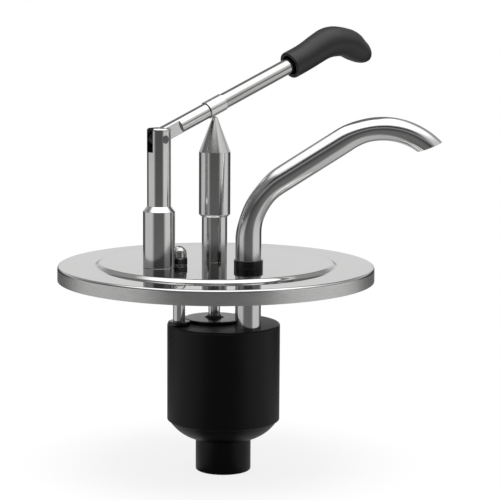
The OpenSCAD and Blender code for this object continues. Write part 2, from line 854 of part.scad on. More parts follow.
module cap_seal() {
    face = (plate_thread_d + chamber_d) / 4;
    thick = min(ring_t - stop_gap, (plate_thread_d - chamber_d) / 2) - 2 * fit_gap;
    color("black")
        at(plunger_at, (chamber_top + plate_low) / 2)
            ring_seal(2 * face, thick);
}

module rod_wiper() {
    rod_r = rod_d / 2 + run_gap;
    shoulder_z = body_top + plate_h - wiper_sink;
    lip_z = shoulder_z + wiper_lip_h;
    color("black")
        at(plunger_at)
            turned([[rod_r, wiper_low], [wiper_d / 2, wiper_low], [wiper_d / 2, shoulder_z],
                [(wiper_d / 2 + rod_r) / 2, shoulder_z], [rod_r + wiper_lip_t, lip_z],
                [rod_r, lip_z]]);
}

// Bottom cap: a rounded bowl with a threaded plug, screwed into the body's recess
bottom_d = body_d - 2 * bottom_step;
// Centre of the rounded side, which runs from the bowl's rim to the foot
bowl_far = [bottom_d / 2, 0];
bowl_near = [foot_d / 2, -bottom_h];
bowl_half = norm(bowl_far - bowl_near) / 2;
bowl_mid = (bowl_far + bowl_near) / 2;
bowl_normal = [bowl_near[1] - bowl_far[1], bowl_far[0] - bowl_near[0]] / (2 * bowl_half);
bowl_back = sqrt(bottom_arc_r * bottom_arc_r - bowl_half * bowl_half);
bowl_centre = bowl_mid + bowl_back * bowl_normal;

bowl_from = atan2(bowl_near[1] - bowl_centre[1], bowl_near[0] - bowl_centre[0]);
bowl_to = atan2(bowl_far[1] - bowl_centre[1], bowl_far[0] - bowl_centre[0]);
plug_d = recess_d - 2 * fit_gap;

module bottom_cap() {
    ball_bore_r = inlet_r * ball_bore_share;
    thread_r = foot_thread_d / 2 + fit_gap;
    cage_top = inlet_cage_z + cage_t - body_base;
    color([0.12, 0.12, 0.13])
        at(body_at, body_base)
            difference() {
                turned(concat(
                    [[thread_r, -bottom_h]],
                    arc(bowl_centre, bottom_arc_r, bowl_from, bowl_to, bowl_steps),
                    [[plug_d / 2, 0], [plug_d / 2, plug_h], [ball_bore_r, plug_h],
                        [ball_bore_r, cage_top], [thread_r, cage_top]]
                ));
                // Groove of the seal round the plug
                translate([0, 0, fit_gap])
                    tube(plug_d + cut, plug_d - 2 * ring_t - 2 * fit_gap, ring_t + 2 * fit_gap);
            }
}

module bottom_seal() {
    color("black")
        at(body_at, body_base + 2 * fit_gap + ring_t / 2)
            ring_seal(plug_d - ring_t, ring_t);
}

// Foot: the inlet's valve housing, screwed into the bottom cap from below
module inlet_foot() {
    throat_r = inlet_r * throat_share;
    ball_bore_r = inlet_r * ball_bore_share;
    seat_top = inlet_seat + ball_bore_r - throat_r;
    bore_top = foot_low + inlet_l;
    outer_r = foot_d / 2;
    color([0.12, 0.12, 0.13])
        at(body_at)
            difference() {
                turned([[inlet_d / 2, foot_low], [outer_r - foot_chamfer, foot_low],
                    [outer_r, foot_low + foot_chamfer], [outer_r, bottom_low],
                    [foot_thread_d / 2, bottom_low], [foot_thread_d / 2, inlet_cage_z],
                    [ball_bore_r, inlet_cage_z], [ball_bore_r, seat_top], [throat_r, inlet_seat],
                    [throat_r, bore_top], [inlet_d / 2, bore_top]]);
                translate([0, 0, bottom_low + fit_gap])
                    tube(foot_thread_d + cut, foot_thread_d - 2 * ring_t - 2 * fit_gap,
                        ring_t + 2 * fit_gap);
            }
}

module foot_seal() {
    color("black")
        at(body_at, bottom_low + 2 * fit_gap + ring_t / 2)
            ring_seal(foot_thread_d - ring_t, ring_t);
}

module inlet_cage() {
    color("silver")
        at(body_at, inlet_cage_z)
            cage(foot_thread_d, inlet_ball_d);
}

module outlet_cage() {
    color("silver")
        at(spout_at, outlet_cage_z)
            cage(spout_d, outlet_ball_d);
}

module inlet_ball() {
    color("silver")
        at(body_at, inlet_z)
            sphere(r = inlet_r);
}

module outlet_ball() {
    color("silver")
        at(spout_at, outlet_z)
            sphere(r = outlet_r);
}

// Plunger: cap with its cone, rod, and piston with its seal, washer and nut
module plunger_cap() {
    outer_r = cap_d / 2;
    guide_r = sleeve_d / 2 + run_gap;
    wide_r = sleeve_d / 2 + cap_relief;
    thread_r = rod_thread_d / 2 + fit_gap;
    thread_top = cap_shoulder + rod_thread_l + stop_gap;
    guide_top = cap_base + cap_guide_l;
    color("silver")
        at(plunger_at)
            turned(concat(
                [[guide_r, cap_base], [outer_r - cap_chamfer, cap_base],
                    [outer_r, cap_base + cap_chamfer], [outer_r, cap_shoulder]],
                arc([0, tip_z], cap_tip_r, cone_half, 90, dome_steps),
                [[0, thread_top], [thread_r, thread_top], [thread_r, cap_shoulder],
                    [wide_r, cap_shoulder], [wide_r, guide_top], [guide_r, guide_top]]
            ));
}

piston_core_low = piston_low + piston_recess;

module piston_rod() {
    thread_low = piston_low + stop_gap;
    thread_top = cap_shoulder + rod_thread_l;
    color("silver") {
        at(plunger_at, piston_top)
            cylinder(d = rod_d, h = cap_shoulder - piston_top);
        at(plunger_at, thread_low)
            cylinder(d = rod_thread_d, h = thread_top - thread_low);
    }
}

module piston() {
    piston_r = chamber_d / 2 - piston_gap;
    thread_r = rod_thread_d / 2 + fit_gap;
    seat_r = piston_washer_d / 2 + stop_gap;
    seal_low = (piston_core_low + piston_top - piston_seal_t) / 2 - fit_gap;
    groove_r = chamber_d / 2 - run_gap - piston_seal_t - fit_gap;
    color([0.85, 0.85, 0.82])
        at(plunger_at)
            difference() {
                turned([[seat_r, piston_low], [piston_r, piston_low], [piston_r, piston_top],
                    [thread_r, piston_top], [thread_r, piston_core_low],
                    [seat_r, piston_core_low]]);
                translate([0, 0, seal_low])
                    tube(2 * piston_r + cut, 2 * groove_r, piston_seal_t + 2 * fit_gap);
            }
}

module piston_seal() {
    color("black")
        at(plunger_at, (piston_core_low + piston_top) / 2)
            ring_seal(chamber_d - 2 * run_gap - piston_seal_t, piston_seal_t);
}

module piston_washer() {
    color("silver")
        at(plunger_at, piston_core_low - piston_washer_t)
            tube(piston_washer_d, rod_thread_d + 2 * fit_gap, piston_washer_t);
}

module piston_nut() {
    color("silver")
        at(plunger_at, piston_core_low - piston_washer_t - piston_nut_h)
            difference() {
                nut_blank(piston_nut_af, piston_nut_h);
                translate([0, 0, -cut])
                    cylinder(d = rod_thread_d + 2 * fit_gap, h = piston_nut_h + 2 * cut);
            }
}

// Lever: solid rod with a flat tang, tube on its spigot, wear sleeve, and the grip
module lever_rod() {
    rod_r = lever_rod_d / 2;
    spigot_d = lever_tube_d - 2 * lever_wall - 2 * fit_gap;
    color("silver")
        along_lever()
            difference() {
                union() {
                    intersection() {
                        rotate([0, 90, 0])
                            cylinder(r = rod_r, h = joint_at);
                        translate([0, 0, -rod_r])
                            union() {
                                translate([0, -tang_w / 2, 0])
                                    cube([joint_at, tang_w, lever_rod_d]);
                                translate([tang_l, -rod_r, 0])
                                    cube([joint_at - tang_l, lever_rod_d, lever_rod_d]);
                            }
                    }
                    // The tang's round eye, as high as the rod
                    translate([0, 0, -lever_lift])
                        rotate([90, 0, 0])
                            cylinder(r = rod_r + lever_lift, h = tang_w, center = true);
                    translate([joint_at - cut, 0, 0])
                        rotate([0, 90, 0])
                            cylinder(d = spigot_d, h = spigot_l + cut);
                }
                translate([0, 0, -lever_lift])
                    rotate([90, 0, 0])
                        cylinder(d = pin_d + 2 * run_gap, h = lever_rod_d, center = true);
            }
}

module lever_tube() {
    start = joint_at + joint_groove;
    color("silver")
        along_lever()
            translate([start, 0, 0])
                rotate([0, 90, 0])
                    tube(lever_tube_d, lever_tube_d - 2 * lever_wall, lever_tube_end - start);
}

module wear_sleeve() {
    color("silver")
        along_lever()
            translate([joint_at + joint_groove, 0, 0])
                rotate([0, 90, 0])
                    tube(wear_d, lever_tube_d + 2 * fit_gap, wear_l);
}

function grip_ring(s) = let (turn = 90 * s[2], up = [-sin(turn), 0, cos(turn)])
    [for (k = [0 : grip_sides - 1]) let (t = 360 * k / grip_sides)
        [grip_at + grip_l * s[0], 0, grip_drop * s[1]]
            + grip_r * (s[3] * cos(t) * up + s[4] * sin(t) * [0, 1, 0])];

module grip() {
    bore_end = lever_tube_end + stop_gap;
    color([0.1, 0.1, 0.11])
        along_lever()
            difference() {
                polyhedron([for (s = grip_shares) each grip_ring(s)],
                    skin_faces(len(grip_shares), grip_sides));
                translate([grip_at - cut, 0, 0])
                    rotate([0, 90, 0])
                        cylinder(d = lever_tube_d + 2 * fit_gap, h = bore_end - grip_at + cut);
                translate([grip_at - cut, 0, 0])
                    rotate([0, 90, 0])
                        cylinder(d = grip_mouth_d, h = grip_mouth_l + cut);
            }
}

lid();
fulcrum_post();
post_screw();
post_washer();
pivot_pin();
guide_sleeve();
sleeve_nut();
rod_bush();
return_spring();
acorn_nut();
tie_rod();
tie_rod_bush();
spout_tube();
spout_collar();
spout_seal();
pump_body();
cylinder_cap();
cap_seal();
rod_wiper();
bottom_cap();
bottom_seal();
inlet_foot();
foot_seal();
inlet_cage();
outlet_cage();
inlet_ball();
outlet_ball();
plunger_cap();
piston_rod();
piston();
piston_seal();
piston_washer();
piston_nut();
lever_rod();
lever_tube();
wear_sleeve();
grip();
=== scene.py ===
"""Lever pump for syrup on a lift-off lid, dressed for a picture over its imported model.

Lengths are in millimetres until a mesh is made, and every piece stands in the model's frame.
"""
import logging
import math
from dataclasses import dataclass, field
from enum import Enum
from typing import Optional, Sequence, Union

import bpy
import numpy as np
from mathutils import Matrix, Vector


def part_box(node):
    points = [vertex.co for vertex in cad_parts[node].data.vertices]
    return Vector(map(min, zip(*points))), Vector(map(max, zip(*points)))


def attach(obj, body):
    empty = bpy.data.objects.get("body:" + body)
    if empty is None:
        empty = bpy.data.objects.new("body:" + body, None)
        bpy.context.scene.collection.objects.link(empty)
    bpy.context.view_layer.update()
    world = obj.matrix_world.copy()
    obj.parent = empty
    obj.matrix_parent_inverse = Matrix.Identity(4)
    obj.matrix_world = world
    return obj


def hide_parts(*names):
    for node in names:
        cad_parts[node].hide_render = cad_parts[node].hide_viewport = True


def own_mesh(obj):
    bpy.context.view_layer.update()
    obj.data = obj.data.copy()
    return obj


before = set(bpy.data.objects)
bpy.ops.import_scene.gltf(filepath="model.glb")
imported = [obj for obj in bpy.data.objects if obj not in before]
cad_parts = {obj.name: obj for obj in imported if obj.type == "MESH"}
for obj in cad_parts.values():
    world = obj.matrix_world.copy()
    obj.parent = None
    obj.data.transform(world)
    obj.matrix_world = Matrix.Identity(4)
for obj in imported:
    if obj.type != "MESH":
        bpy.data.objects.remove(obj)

Array = np.ndarray
Number = Union[int, float]
Colour = tuple[float, float, float]
MM = 0.001
# Rounded corners: largest share of a flat that an arc takes, then the support point's distance
# as a share of the arc, the least that is added to it, and its largest share of the flat
ARC_SHARE = 0.45
SUPPORT_SHARE, SUPPORT_LEAST, SUPPORT_MOST = 0.35, 0.02, 0.2
# Play between pieces that fit each other, on the radius
PLAY = 0.05
# Rounding of a plain turned edge
EDGE = 0.3
# Share that the grain keeps of the way along the working marks, which stretches them
ALONG = 0.02
# How far a cutting solid reaches past a face
OVER = 1.0
# Range of a cloudy pattern that a tone follows
CLOUDS = (0.3, 0.75)
# Radius under which an end of an outline is a pole, and a hair that keeps faces apart
POLE, HAIR = 1e-6, 0.001
LOG = logging.getLogger("syrup_pump")


class Body(Enum):
    """Moving groups that the new pieces ride on."""

    BASE = "base"
    PLUNGER = "plunger"
    LEVER = "lever"


class Combine(Enum):
    """Ways to combine solids."""

    CUT = "DIFFERENCE"
    JOIN = "UNION"


# Outlines and surfaces


@dataclass
class Outline:
    """Half outline of a turned piece: radius and height of each point, and its edge wear."""

    points: Array
    wear: Array


def rounded(corners: Sequence[Sequence[float]], steps: int = 5) -> Outline:
    """Round the corners of an outline.

    A corner with radius r between unit directions a and b gives an arc whose ends lie
    r * tan(half its turn) before and after the corner, with a support point beyond each end,
    so that the flat beside it keeps its shading.

    Args:
        corners: Radius, height and rounding of each corner, in order.
        steps: Pieces of each arc.

    Returns:
        The outline with its arcs.
    """
    spots = np.array([c[:2] for c in corners], float)
    radii = [c[2] if len(c) > 2 else 0.0 for c in corners]
    points: list[Array] = []
    wear: list[float] = []
    for i, (spot, radius) in enumerate(zip(spots, radii)):
        if radius <= 0 or i in (0, len(spots) - 1):
            points.append(spot)
            wear.append(0.0)
            continue
        back, ahead = spots[i - 1] - spot, spots[i + 1] - spot
        room = min(np.linalg.norm(back), np.linalg.norm(ahead))
        back, ahead = back / np.linalg.norm(back), ahead / np.linalg.norm(ahead)
        half = 0.5 * math.acos(float(np.clip(back @ ahead, -1, 1)))
        reach = min(radius / math.tan(half), ARC_SHARE * room)
        size = reach * math.tan(half)
        middle = (back + ahead) / np.linalg.norm(back + ahead)
        centre = spot + middle * size / math.sin(half)
        first, last = spot + back * reach - centre, spot + ahead * reach - centre
        share = np.linspace(0, 1, steps + 1)[:, None]
        turn = math.pi - 2 * half
        arc = (np.sin((1 - share) * turn) * first + np.sin(share * turn) * last) / math.sin(turn)
        support = min(SUPPORT_SHARE * reach + SUPPORT_LEAST, SUPPORT_MOST * room)
        points.append(spot + back * (reach + support))
        points.extend(centre + arc)
        points.append(spot + ahead * (reach + support))
        wear.extend([0.0] + [1.0] * (steps + 1) + [0.0])
    return Outline(np.array(points), np.array(wear))


@dataclass
class Surface:
    """A mesh as arrays, in millimetres.

    grain holds a place on the surface in which the working marks run along y and z. wear
    is 1 where hands and cloths rub an edge bright, and -1 where shade is painted dark.
    """

    vertices: Array
    quads: Array
    triangles: Array
    grain: Array
    wear: Array

    def placed(self, matrix: Matrix) -> "Surface":
        """The surface moved by a matrix whose place is in millimetres."""
        turn = np.array(matrix)[:3, :3]
        place = np.array(matrix)[:3, 3]
        return Surface(self.vertices @ turn.T + place, self.quads, self.triangles, self.grain,
                       self.wear)


def woven(points: Array, grain: Array, wear: Array, loop: bool, start_pole: bool,
          end_pole: bool) -> Surface:
    """Join a grid of points into a surface that is closed round its second direction.

    Each cell (i, j) becomes the face i, j; i, j + 1; i + 1, j + 1; i + 1, j. A pole stands in
    for a whole row and is joined by a fan.

    Args:
        points: Rows, places round each row, and three coordinates.
        grain: Grain coordinates with the shape of points.
        wear: Edge wear of each row, with painted shade where it is below zero.
        loop: Join the last row to the first.
        start_pole: The first row is one point.
        end_pole: The last row is one point.

    Returns:
        The surface.
    """
    rows, round_ = points.shape[:2]
    number = np.arange(rows * round_).reshape(rows, round_)
    ring = np.arange(round_)
    nxt = (ring + 1) % round_
    low, high = (1 if start_pole else 0), (rows - 1 if end_pole else rows)
    first = np.arange(low, high if loop else high - 1)
    second = np.where(first + 1 < high, first + 1, low)
    quads = np.stack([number[first][:, ring], number[first][:, nxt], number[second][:, nxt],
                      number[second][:, ring]], axis=-1).reshape(-1, 4)
    fans = []
    if start_pole:
        fans.append(np.stack([np.full(round_, number[0, 0]), number[1, nxt], number[1, ring]],
                             axis=-1))
    if end_pole:
        fans.append(np.stack([np.full(round_, number[-1, 0]), number[-2, ring],
                              number[-2, nxt]], axis=-1))
    triangles = np.concatenate(fans) if fans else np.zeros((0, 3), int)
    used = np.unique(np.concatenate([quads.ravel(), triangles.ravel()]))
    new = np.full(rows * round_, -1)
    new[used] = np.arange(len(used))
    return Surface(points.reshape(-1, 3)[used], new[quads], new[triangles],
                   grain.reshape(-1, 3)[used], np.repeat(wear, round_)[used])


def around(steps: int) -> Array:
    """Angles that stand evenly round a circle."""
    return np.arange(steps) * 2 * np.pi / steps


def rings(r: Array, z: Array) -> Array:
    """Points round the Z axis: (r cos t, r sin t, z) with t even round the circle.

    Args:
        r: Radius of each row at each angle.
        z: Height of each row.

    Returns:
        The points, by row and angle.
    """
    t = around(r.shape[1])
    return np.stack([r * np.cos(t), r * np.sin(t), np.repeat(z[:, None], len(t), axis=1)],
                    axis=-1)


def turned(outline: Outline, steps: int = 160, loop: bool = False) -> Surface:
    """Turn a half outline round the Z axis.

    The point at row i and angle t lies at radius r[i] and height z[i]: (r cos t, r sin t, z).
    The outline runs upwards on the outside, so the faces point outwards.

    Args:
        outline: Half outline, anticlockwise with the axis on its left.
        steps: Places round the axis.
        loop: The outline is a closed ring, as for a tube.

    Returns:
        The turned surface, whose grain is its radius and height.
    """
    r, z = outline.points[:, 0], outline.points[:, 1]
    points = rings(np.repeat(r[:, None], steps, axis=1), z)
    grain = np.zeros_like(points)
    grain[..., 0] = (r + z)[:, None]
    grain[..., 1] = (r - z)[:, None] * ALONG
    return woven(points, grain, outline.wear, loop, not loop and r[0] < POLE,
                 not loop and r[-1] < POLE)


def block(low: Sequence[float], high: Sequence[float]) -> Surface:
    """A cutting block between two corners.

    Args:
        low: Lowest corner.
        high: Highest corner.

    Returns:
        The block.
    """
    corner = np.array([[x, y, z] for x in (0, 1) for y in (0, 1) for z in (0, 1)], float)
    quads = np.array([[0, 1, 3, 2], [4, 6, 7, 5], [0, 4, 5, 1], [2, 3, 7, 6], [0, 2, 6, 4],
                      [1, 5, 7, 3]])
    size = np.array(high, float) - np.array(low, float)
    vertices = np.array(low, float) + corner * size
    return Surface(vertices, quads, np.zeros((0, 3), int), vertices * 0.3, np.zeros(8))


def rod(diameter: float, low: float, high: float, edge: float = 0.0,
        steps: int = 96) -> Surface:
    """A solid bar along Z with rounded ends."""
    r = diameter / 2
    return turned(rounded([[0, low], [r, low, edge], [r, high, edge], [0, high]]), steps)


def pipe(outer: float, inner: float, low: float, high: float, edge: float = 0.0,
         steps: int = 128) -> Surface:
    """A tube along Z with rounded ends."""
    ro, ri, mid = outer / 2, inner / 2, (low + high) / 2
    return turned(rounded([[ri, mid], [ri, low, edge], [ro, low, edge], [ro, high, edge],
                           [ri, high, edge], [ri, mid + 0.01]]), steps, loop=True)


def smooth(share: Array) -> Array:
    """The soft step 3 s^2 - 2 s^3 of a share held between 0 and 1."""
    s = np.clip(share, 0.0, 1.0)
    return s * s * (3 - 2 * s)


# Shader nodes


class Signal:
    """One output of a shader's nodes. Arithmetic on it adds Math nodes."""

    def __init__(self, graph: "Graph", socket: bpy.types.NodeSocket) -> None:
        """Wrap a socket of a graph."""
        self.graph = graph
        self.socket = socket

    def _with(self, operation: str, first: "Signal | Number",
              second: "Signal | Number") -> "Signal":
        """Add a Math node with two inputs."""
        return self.graph.add("ShaderNodeMath", {"operation": operation}, {0: first, 1: second})

    def __add__(self, other: "Signal | Number") -> "Signal":
        """Sum."""
        return self._with("ADD", self, other)

    def __radd__(self, other: Number) -> "Signal":
        """Sum with a number in front."""
        return self._with("ADD", other, self)

    def __sub__(self, other: "Signal | Number") -> "Signal":
        """Difference."""
        return self._with("SUBTRACT", self, other)

    def __rsub__(self, other: Number) -> "Signal":
        """Difference from a number."""
        return self._with("SUBTRACT", other, self)

    def __mul__(self, other: "Signal | Number") -> "Signal":
        """Product."""
        return self._with("MULTIPLY", self, other)

    def __rmul__(self, other: Number) -> "Signal":
        """Product with a number in front."""
        return self._with("MULTIPLY", other, self)

    def highest(self, other: "Signal | Number") -> "Signal":
        """The larger of two values."""
        return self._with("MAXIMUM", self, other)

    def between(self, low: float, high: float, start: float = 0.0,
                end: float = 1.0) -> "Signal":
        """Map the range low to high onto start to end, held at both ends."""
        return self.graph.add("ShaderNodeMapRange", {"clamp": True},
                              {"Value": self, "From Min": low, "From Max": high,
                               "To Min": start, "To Max": end})


class Graph:
    """The nodes of one material or of the world."""

    def __init__(self, owner: "bpy.types.Material | bpy.types.World") -> None:
        """Start with no nodes.

        Args:
            owner: Material or world that holds the nodes.
        """
        owner.use_nodes = True
        self.tree = owner.node_tree
        self.tree.nodes.clear()

    def node(self, kind: str, settings: Optional[dict] = None,
             inputs: Optional[dict] = None) -> bpy.types.Node:
        """Make a node, with its settings first and then its sockets.

        Args:
            kind: Blender's name for the node's type.
            settings: Attributes of the node; "stops" fills a colour ramp.
            inputs: Value or Signal of each input, by name or number.

        Returns:
            The node.
        """
        made = self.tree.nodes.new(kind)
        for name, value in (settings or {}).items():
            if name == "stops":
                ramp = made.color_ramp
                while len(ramp.elements) < len(value):
                    ramp.elements.new(0.5)
                for element, (place, colour) in zip(ramp.elements, value):
                    element.position = place
                    element.color = (*colour, 1.0)
            else:
                setattr(made, name, value)
        for name, value in (inputs or {}).items():
            if isinstance(value, Signal):
                self.tree.links.new(value.socket, made.inputs[name])
            else:
                made.inputs[name].default_value = value
        return made

    def add(self, kind: str, settings: Optional[dict] = None, inputs: Optional[dict] = None,
            output: Union[int, str] = 0) -> Signal:
        """Make a node and give one of its outputs."""
        return Signal(self, self.node(kind, settings, inputs).outputs[output])

    def place(self, scale: Sequence[float] = (1, 1, 1),
              centre: Sequence[float] = (0, 0, 0)) -> Signal:
        """Object coordinates in metres, stretched and centred on a point.

        Args:
            scale: Stretch along each axis.
            centre: The point.

        Returns:
            The coordinates.
        """
        spot = self.add("ShaderNodeTexCoord", output="Object")
        moved = self.add("ShaderNodeVectorMath", {"operation": "SUBTRACT"},
                         {0: spot, 1: tuple(centre)})
        return self.add("ShaderNodeMapping", inputs={"Vector": moved, "Scale": tuple(scale)})

    def attribute(self, name: str, output: str) -> Signal:
        """An attribute of the piece's own mesh."""
        return self.add("ShaderNodeAttribute", {"attribute_name": name}, output=output)

    def stretched(self, vector: Signal, scale: Sequence[float]) -> Signal:
        """A vector multiplied by a scale for each axis."""
        return self.add("ShaderNodeVectorMath", {"operation": "MULTIPLY"},
                        {0: vector, 1: tuple(scale)})

    def noise(self, vector: Signal, scale: float, detail: float = 2.0,
              roughness: float = 0.5) -> Signal:
        """A noise pattern between 0 and 1."""
        return self.add("ShaderNodeTexNoise", {"noise_dimensions": "3D"},
                        {"Vector": vector, "Scale": scale, "Detail": detail,
                         "Roughness": roughness}, "Fac")

    def mixed(self, share: "Signal | Number", first: "Signal | Sequence[float]",
              second: "Signal | Sequence[float]") -> Signal:
        """A colour between two colours.

        Args:
            share: Share of the second colour.
            first: First colour.
            second: Second colour.

        Returns:
            The colour.
        """
        made = self.node("ShaderNodeMix", {"data_type": "RGBA"}, {0: share})
        for index, value in ((6, first), (7, second)):
            if isinstance(value, Signal):
                self.tree.links.new(value.socket, made.inputs[index])
            else:
                made.inputs[index].default_value = (*value, 1.0)
        return Signal(self, made.outputs[2])

    def bump(self, height: Signal, strength: float, distance: float) -> Signal:
        """A normal tilted by a height."""
        return self.add("ShaderNodeBump", inputs={"Height": height, "Strength": strength,
                                                  "Distance": distance}, output="Normal")

    def seen(self) -> Signal:
        """Whether a ray is one whose surface the picture shows.

        Returns:
            1 for rays from the camera, off gloss and through clear things, and else 0.
        """
        path = self.node("ShaderNodeLightPath")
        camera, gloss, clear = (Signal(self, path.outputs[f"Is {kind} Ray"])
                                for kind in ("Camera", "Glossy", "Transmission"))
        return camera.highest(gloss).highest(clear)

    def across(self, spot: Signal) -> Signal:
        """Level distance of a place from the Z axis."""
        return self.add("ShaderNodeVectorMath", {"operation": "LENGTH"},
                        {0: self.stretched(spot, (1, 1, 0))}, "Value")

    def glossy(self, colour: Signal, roughness: Signal, normal: Signal, **more: object) -> None:
        """Send a Principled shader to the output.

        Args:
            colour: Its base colour.
            roughness: Its roughness.
            normal: Its normal.
            more: Its other inputs, named with low lines for the spaces.
        """
        inputs = {"Base Color": colour, "Roughness": roughness, "Normal": normal}
        inputs.update({name.replace("_", " "): value for name, value in more.items()})
        self.surface(self.add("ShaderNodeBsdfPrincipled", inputs=inputs))

    def surface(self, shader: Signal) -> None:
        """Send a shader to the output.

        Args:
            shader: The shader.
        """
        kind = ("ShaderNodeOutputWorld" if isinstance(self.tree.id_data, bpy.types.World)
                else "ShaderNodeOutputMaterial")
        self.node(kind, inputs={"Surface": shader})


def toned(colour: Colour, factor: float) -> Colour:
    """A colour made darker or lighter."""
    red, green, blue = (min(1.0, part * factor) for part in colour)
    return red, green, blue


# Finishes


@dataclass(frozen=True)
class Steel:
    """Stainless steel, polished or brushed.

    Its marks are fine lines across the grain's x, its smudges are broad soft patches in the
    gloss, rubbed edges are a little brighter, and painted shade is near-black.
    """

    slot: str
    name: str
    colour: Colour = (0.62, 0.62, 0.615)
    gloss: float = 0.085
    smudge: float = 0.05
    marks: float = 0.03
    mark_size: float = 0.12
    relief: float = 0.45
    rubbed: Colour = (0.72, 0.72, 0.715)
    # Near-black colour painted as shade where the wear channel is below zero
    painted_shade: Colour = (0.03, 0.03, 0.03)
    shades: tuple[float, float] = (0.93, 1.06)
    # Patterns in a metre: broad patches, fine grain, and hairline scratches along the axes,
    # with the range of the pattern in which a scratch shows
    cloud: float = 42.0
    fine: float = 900.0
    scratches: tuple[float, float, float] = (2600.0, 260.0, 900.0)
    scratched: tuple[float, float] = (0.62, 0.8)
    depth: float = 0.00002

    def material(self) -> bpy.types.Material:
        """Build the steel from its noise patterns.

        Returns:
            The material.
        """
        made = bpy.data.materials.new(self.name)
        g = Graph(made)
        spot = g.place()
        grain = g.attribute("grain", "Vector")
        lines = g.noise(grain, 1.0 / self.mark_size, 3.0, 0.65)
        cloud = g.noise(spot, self.cloud, 3.0, 0.6)
        fine = g.noise(spot, self.fine, 2.0, 0.5)
        hair = g.noise(g.place(self.scratches), 1.0, 2.0, 0.6).between(*self.scratched)
        wear = g.attribute("wear", "Fac")
        tone = (cloud.between(*CLOUDS) * 0.6 + fine * 0.4)
        dark, bright = (toned(self.colour, shade) for shade in self.shades)
        colour = g.mixed(tone, dark, bright)
        colour = g.mixed((wear * 0.35).between(0.0, 1.0), colour, self.rubbed)
        # Painted shade: the colour goes near-black where the wear channel is below zero
        colour = g.mixed((wear * -1.0).between(0.0, 1.0), colour, self.painted_shade)
        rough = (self.gloss + cloud.between(0.35, 0.75) * self.smudge + hair * 0.04
                 + lines.between(0.3, 0.8) * self.marks)
        normal = g.bump(lines + fine * 0.3 + hair * 0.5, (0.05 + self.marks) * self.relief,
                        self.depth)
        g.glossy(colour, rough, normal, Metallic=1.0)
        return made


@dataclass(frozen=True)
class LidSteel:
    """The lid's sheet: a mirror on its top, and brushed round its skirt below a height."""

    slot: str
    name: str
    colour: Colour = (0.61, 0.61, 0.605)
    brushed_below: float = -0.0008
    blend: tuple[float, float] = (0.0006, -0.0004)
    gloss: float = 0.045
    brushed: float = 0.3
    edge_tint: float = 0.8
    shades: tuple[float, float] = (0.96, 1.04)
    streaks: tuple[float, float] = (1.15, 0.85)
    # Patterns in a metre
    cloud: float = 24.0
    fine: float = 1100.0
    ripple: tuple[float, float, float] = (9.0, 9.0, 2.0)
    lines: tuple[float, float, float] = (18.0, 18.0, 9000.0)
    brush: tuple[float, float, float] = (150.0, 150.0, 4200.0)
    scratches: tuple[float, float, float] = (1900.0, 170.0, 300.0)
    scratched: tuple[float, float] = (0.64, 0.82)
    depth: float = 0.00003

    def material(self) -> bpy.types.Material:
        """Build the lid's steel, whose skirt begins at a height.

        Returns:
            The material.
        """
        made = bpy.data.materials.new(self.name)
        g = Graph(made)
        spot = g.place()
        height = g.add("ShaderNodeSeparateXYZ", inputs={0: spot}, output=2)
        skirt = height.between(*(self.brushed_below + side for side in self.blend))
        cloud = g.noise(spot, self.cloud, 3.0, 0.6)
        ripple = g.noise(g.place(self.ripple), 1.0, 2.0, 0.4)
        lines = g.noise(g.place(self.lines), 1.0, 3.0, 0.6)
        hair = g.noise(g.place(self.scratches), 1.0, 2.0, 0.6).between(*self.scratched)
        fine = g.noise(spot, self.fine, 2.0, 0.5)
        tone = cloud.between(*CLOUDS) * 0.7 + fine * 0.3
        dark, bright = (toned(self.colour, shade) for shade in self.shades)
        colour = g.mixed(tone, dark, bright)
        bright, dark = (toned(self.colour, shade) for shade in self.streaks)
        streaks = g.noise(g.place(self.brush), 1.0, 4.0, 0.75)
        colour = g.mixed(skirt, colour, g.mixed(streaks.between(0.3, 0.7), bright, dark))
        rough = (self.gloss + cloud.between(0.45, 0.8) * 0.03 + hair * 0.03
                 + skirt * (self.brushed + lines.between(0.3, 0.7) * 0.1))
        normal = g.bump(skirt * lines + ripple * 0.6 + hair * 0.05, 0.35, self.depth)
        g.glossy(colour, rough, normal, Metallic=1.0,
                 Specular_Tint=(self.edge_tint,) * 3 + (1.0,))
        return made


@dataclass(frozen=True)
class Plastic:
    """Moulded or turned plastic with turning marks, a fine grain and rubbed edges."""

    slot: str
    name: str
    colour: Colour = (0.0022, 0.0022, 0.0024)
    rubbed: Colour = (0.022, 0.022, 0.023)
    gloss: float = 0.34
    marks: float = 0.25
    mark_size: float = 0.18
    grain: float = 0.3
    grain_size: float = 0.35
    specular: float = 0.5
    bloom: float = 1.5
    # Patterns in a metre
    cloud: float = 38.0
    scratches: tuple[float, float, float] = (700.0, 1900.0, 260.0)
    scratched: tuple[float, float] = (0.66, 0.84)
    depth: float = 0.00004

    def material(self) -> bpy.types.Material:
        """Build the plastic from its noise patterns.

        Returns:
            The material.
        """
        made = bpy.data.materials.new(self.name)
        g = Graph(made)
        spot = g.place()
        lines = g.noise(g.attribute("grain", "Vector"), 1.0 / self.mark_size, 3.0, 0.6)
        pebble = g.noise(spot, 1.0 / (self.grain_size * MM), 2.0, 0.55)
        cloud = g.noise(spot, self.cloud, 4.0, 0.6)
        hair = g.noise(g.place(self.scratches), 1.0, 2.0, 0.6).between(*self.scratched)
        wear = g.attribute("wear", "Fac")
        chipped = wear * cloud.between(0.35, 0.6) * 0.5
        colour = g.mixed(cloud.between(*CLOUDS) * 0.6 + pebble * 0.3, self.colour,
                         toned(self.colour, self.bloom))
        colour = g.mixed((chipped + hair * 0.15).between(0.0, 1.0), colour, self.rubbed)
        rough = (self.gloss + cloud.between(0.3, 0.8) * 0.08 + pebble * 0.05 + hair * 0.08
                 - wear * 0.05)
        normal = g.bump(lines * self.marks + pebble * self.grain + hair * 0.1, 0.5, self.depth)
        g.glossy(colour, rough, normal, Specular_IOR_Level=self.specular)
        return made


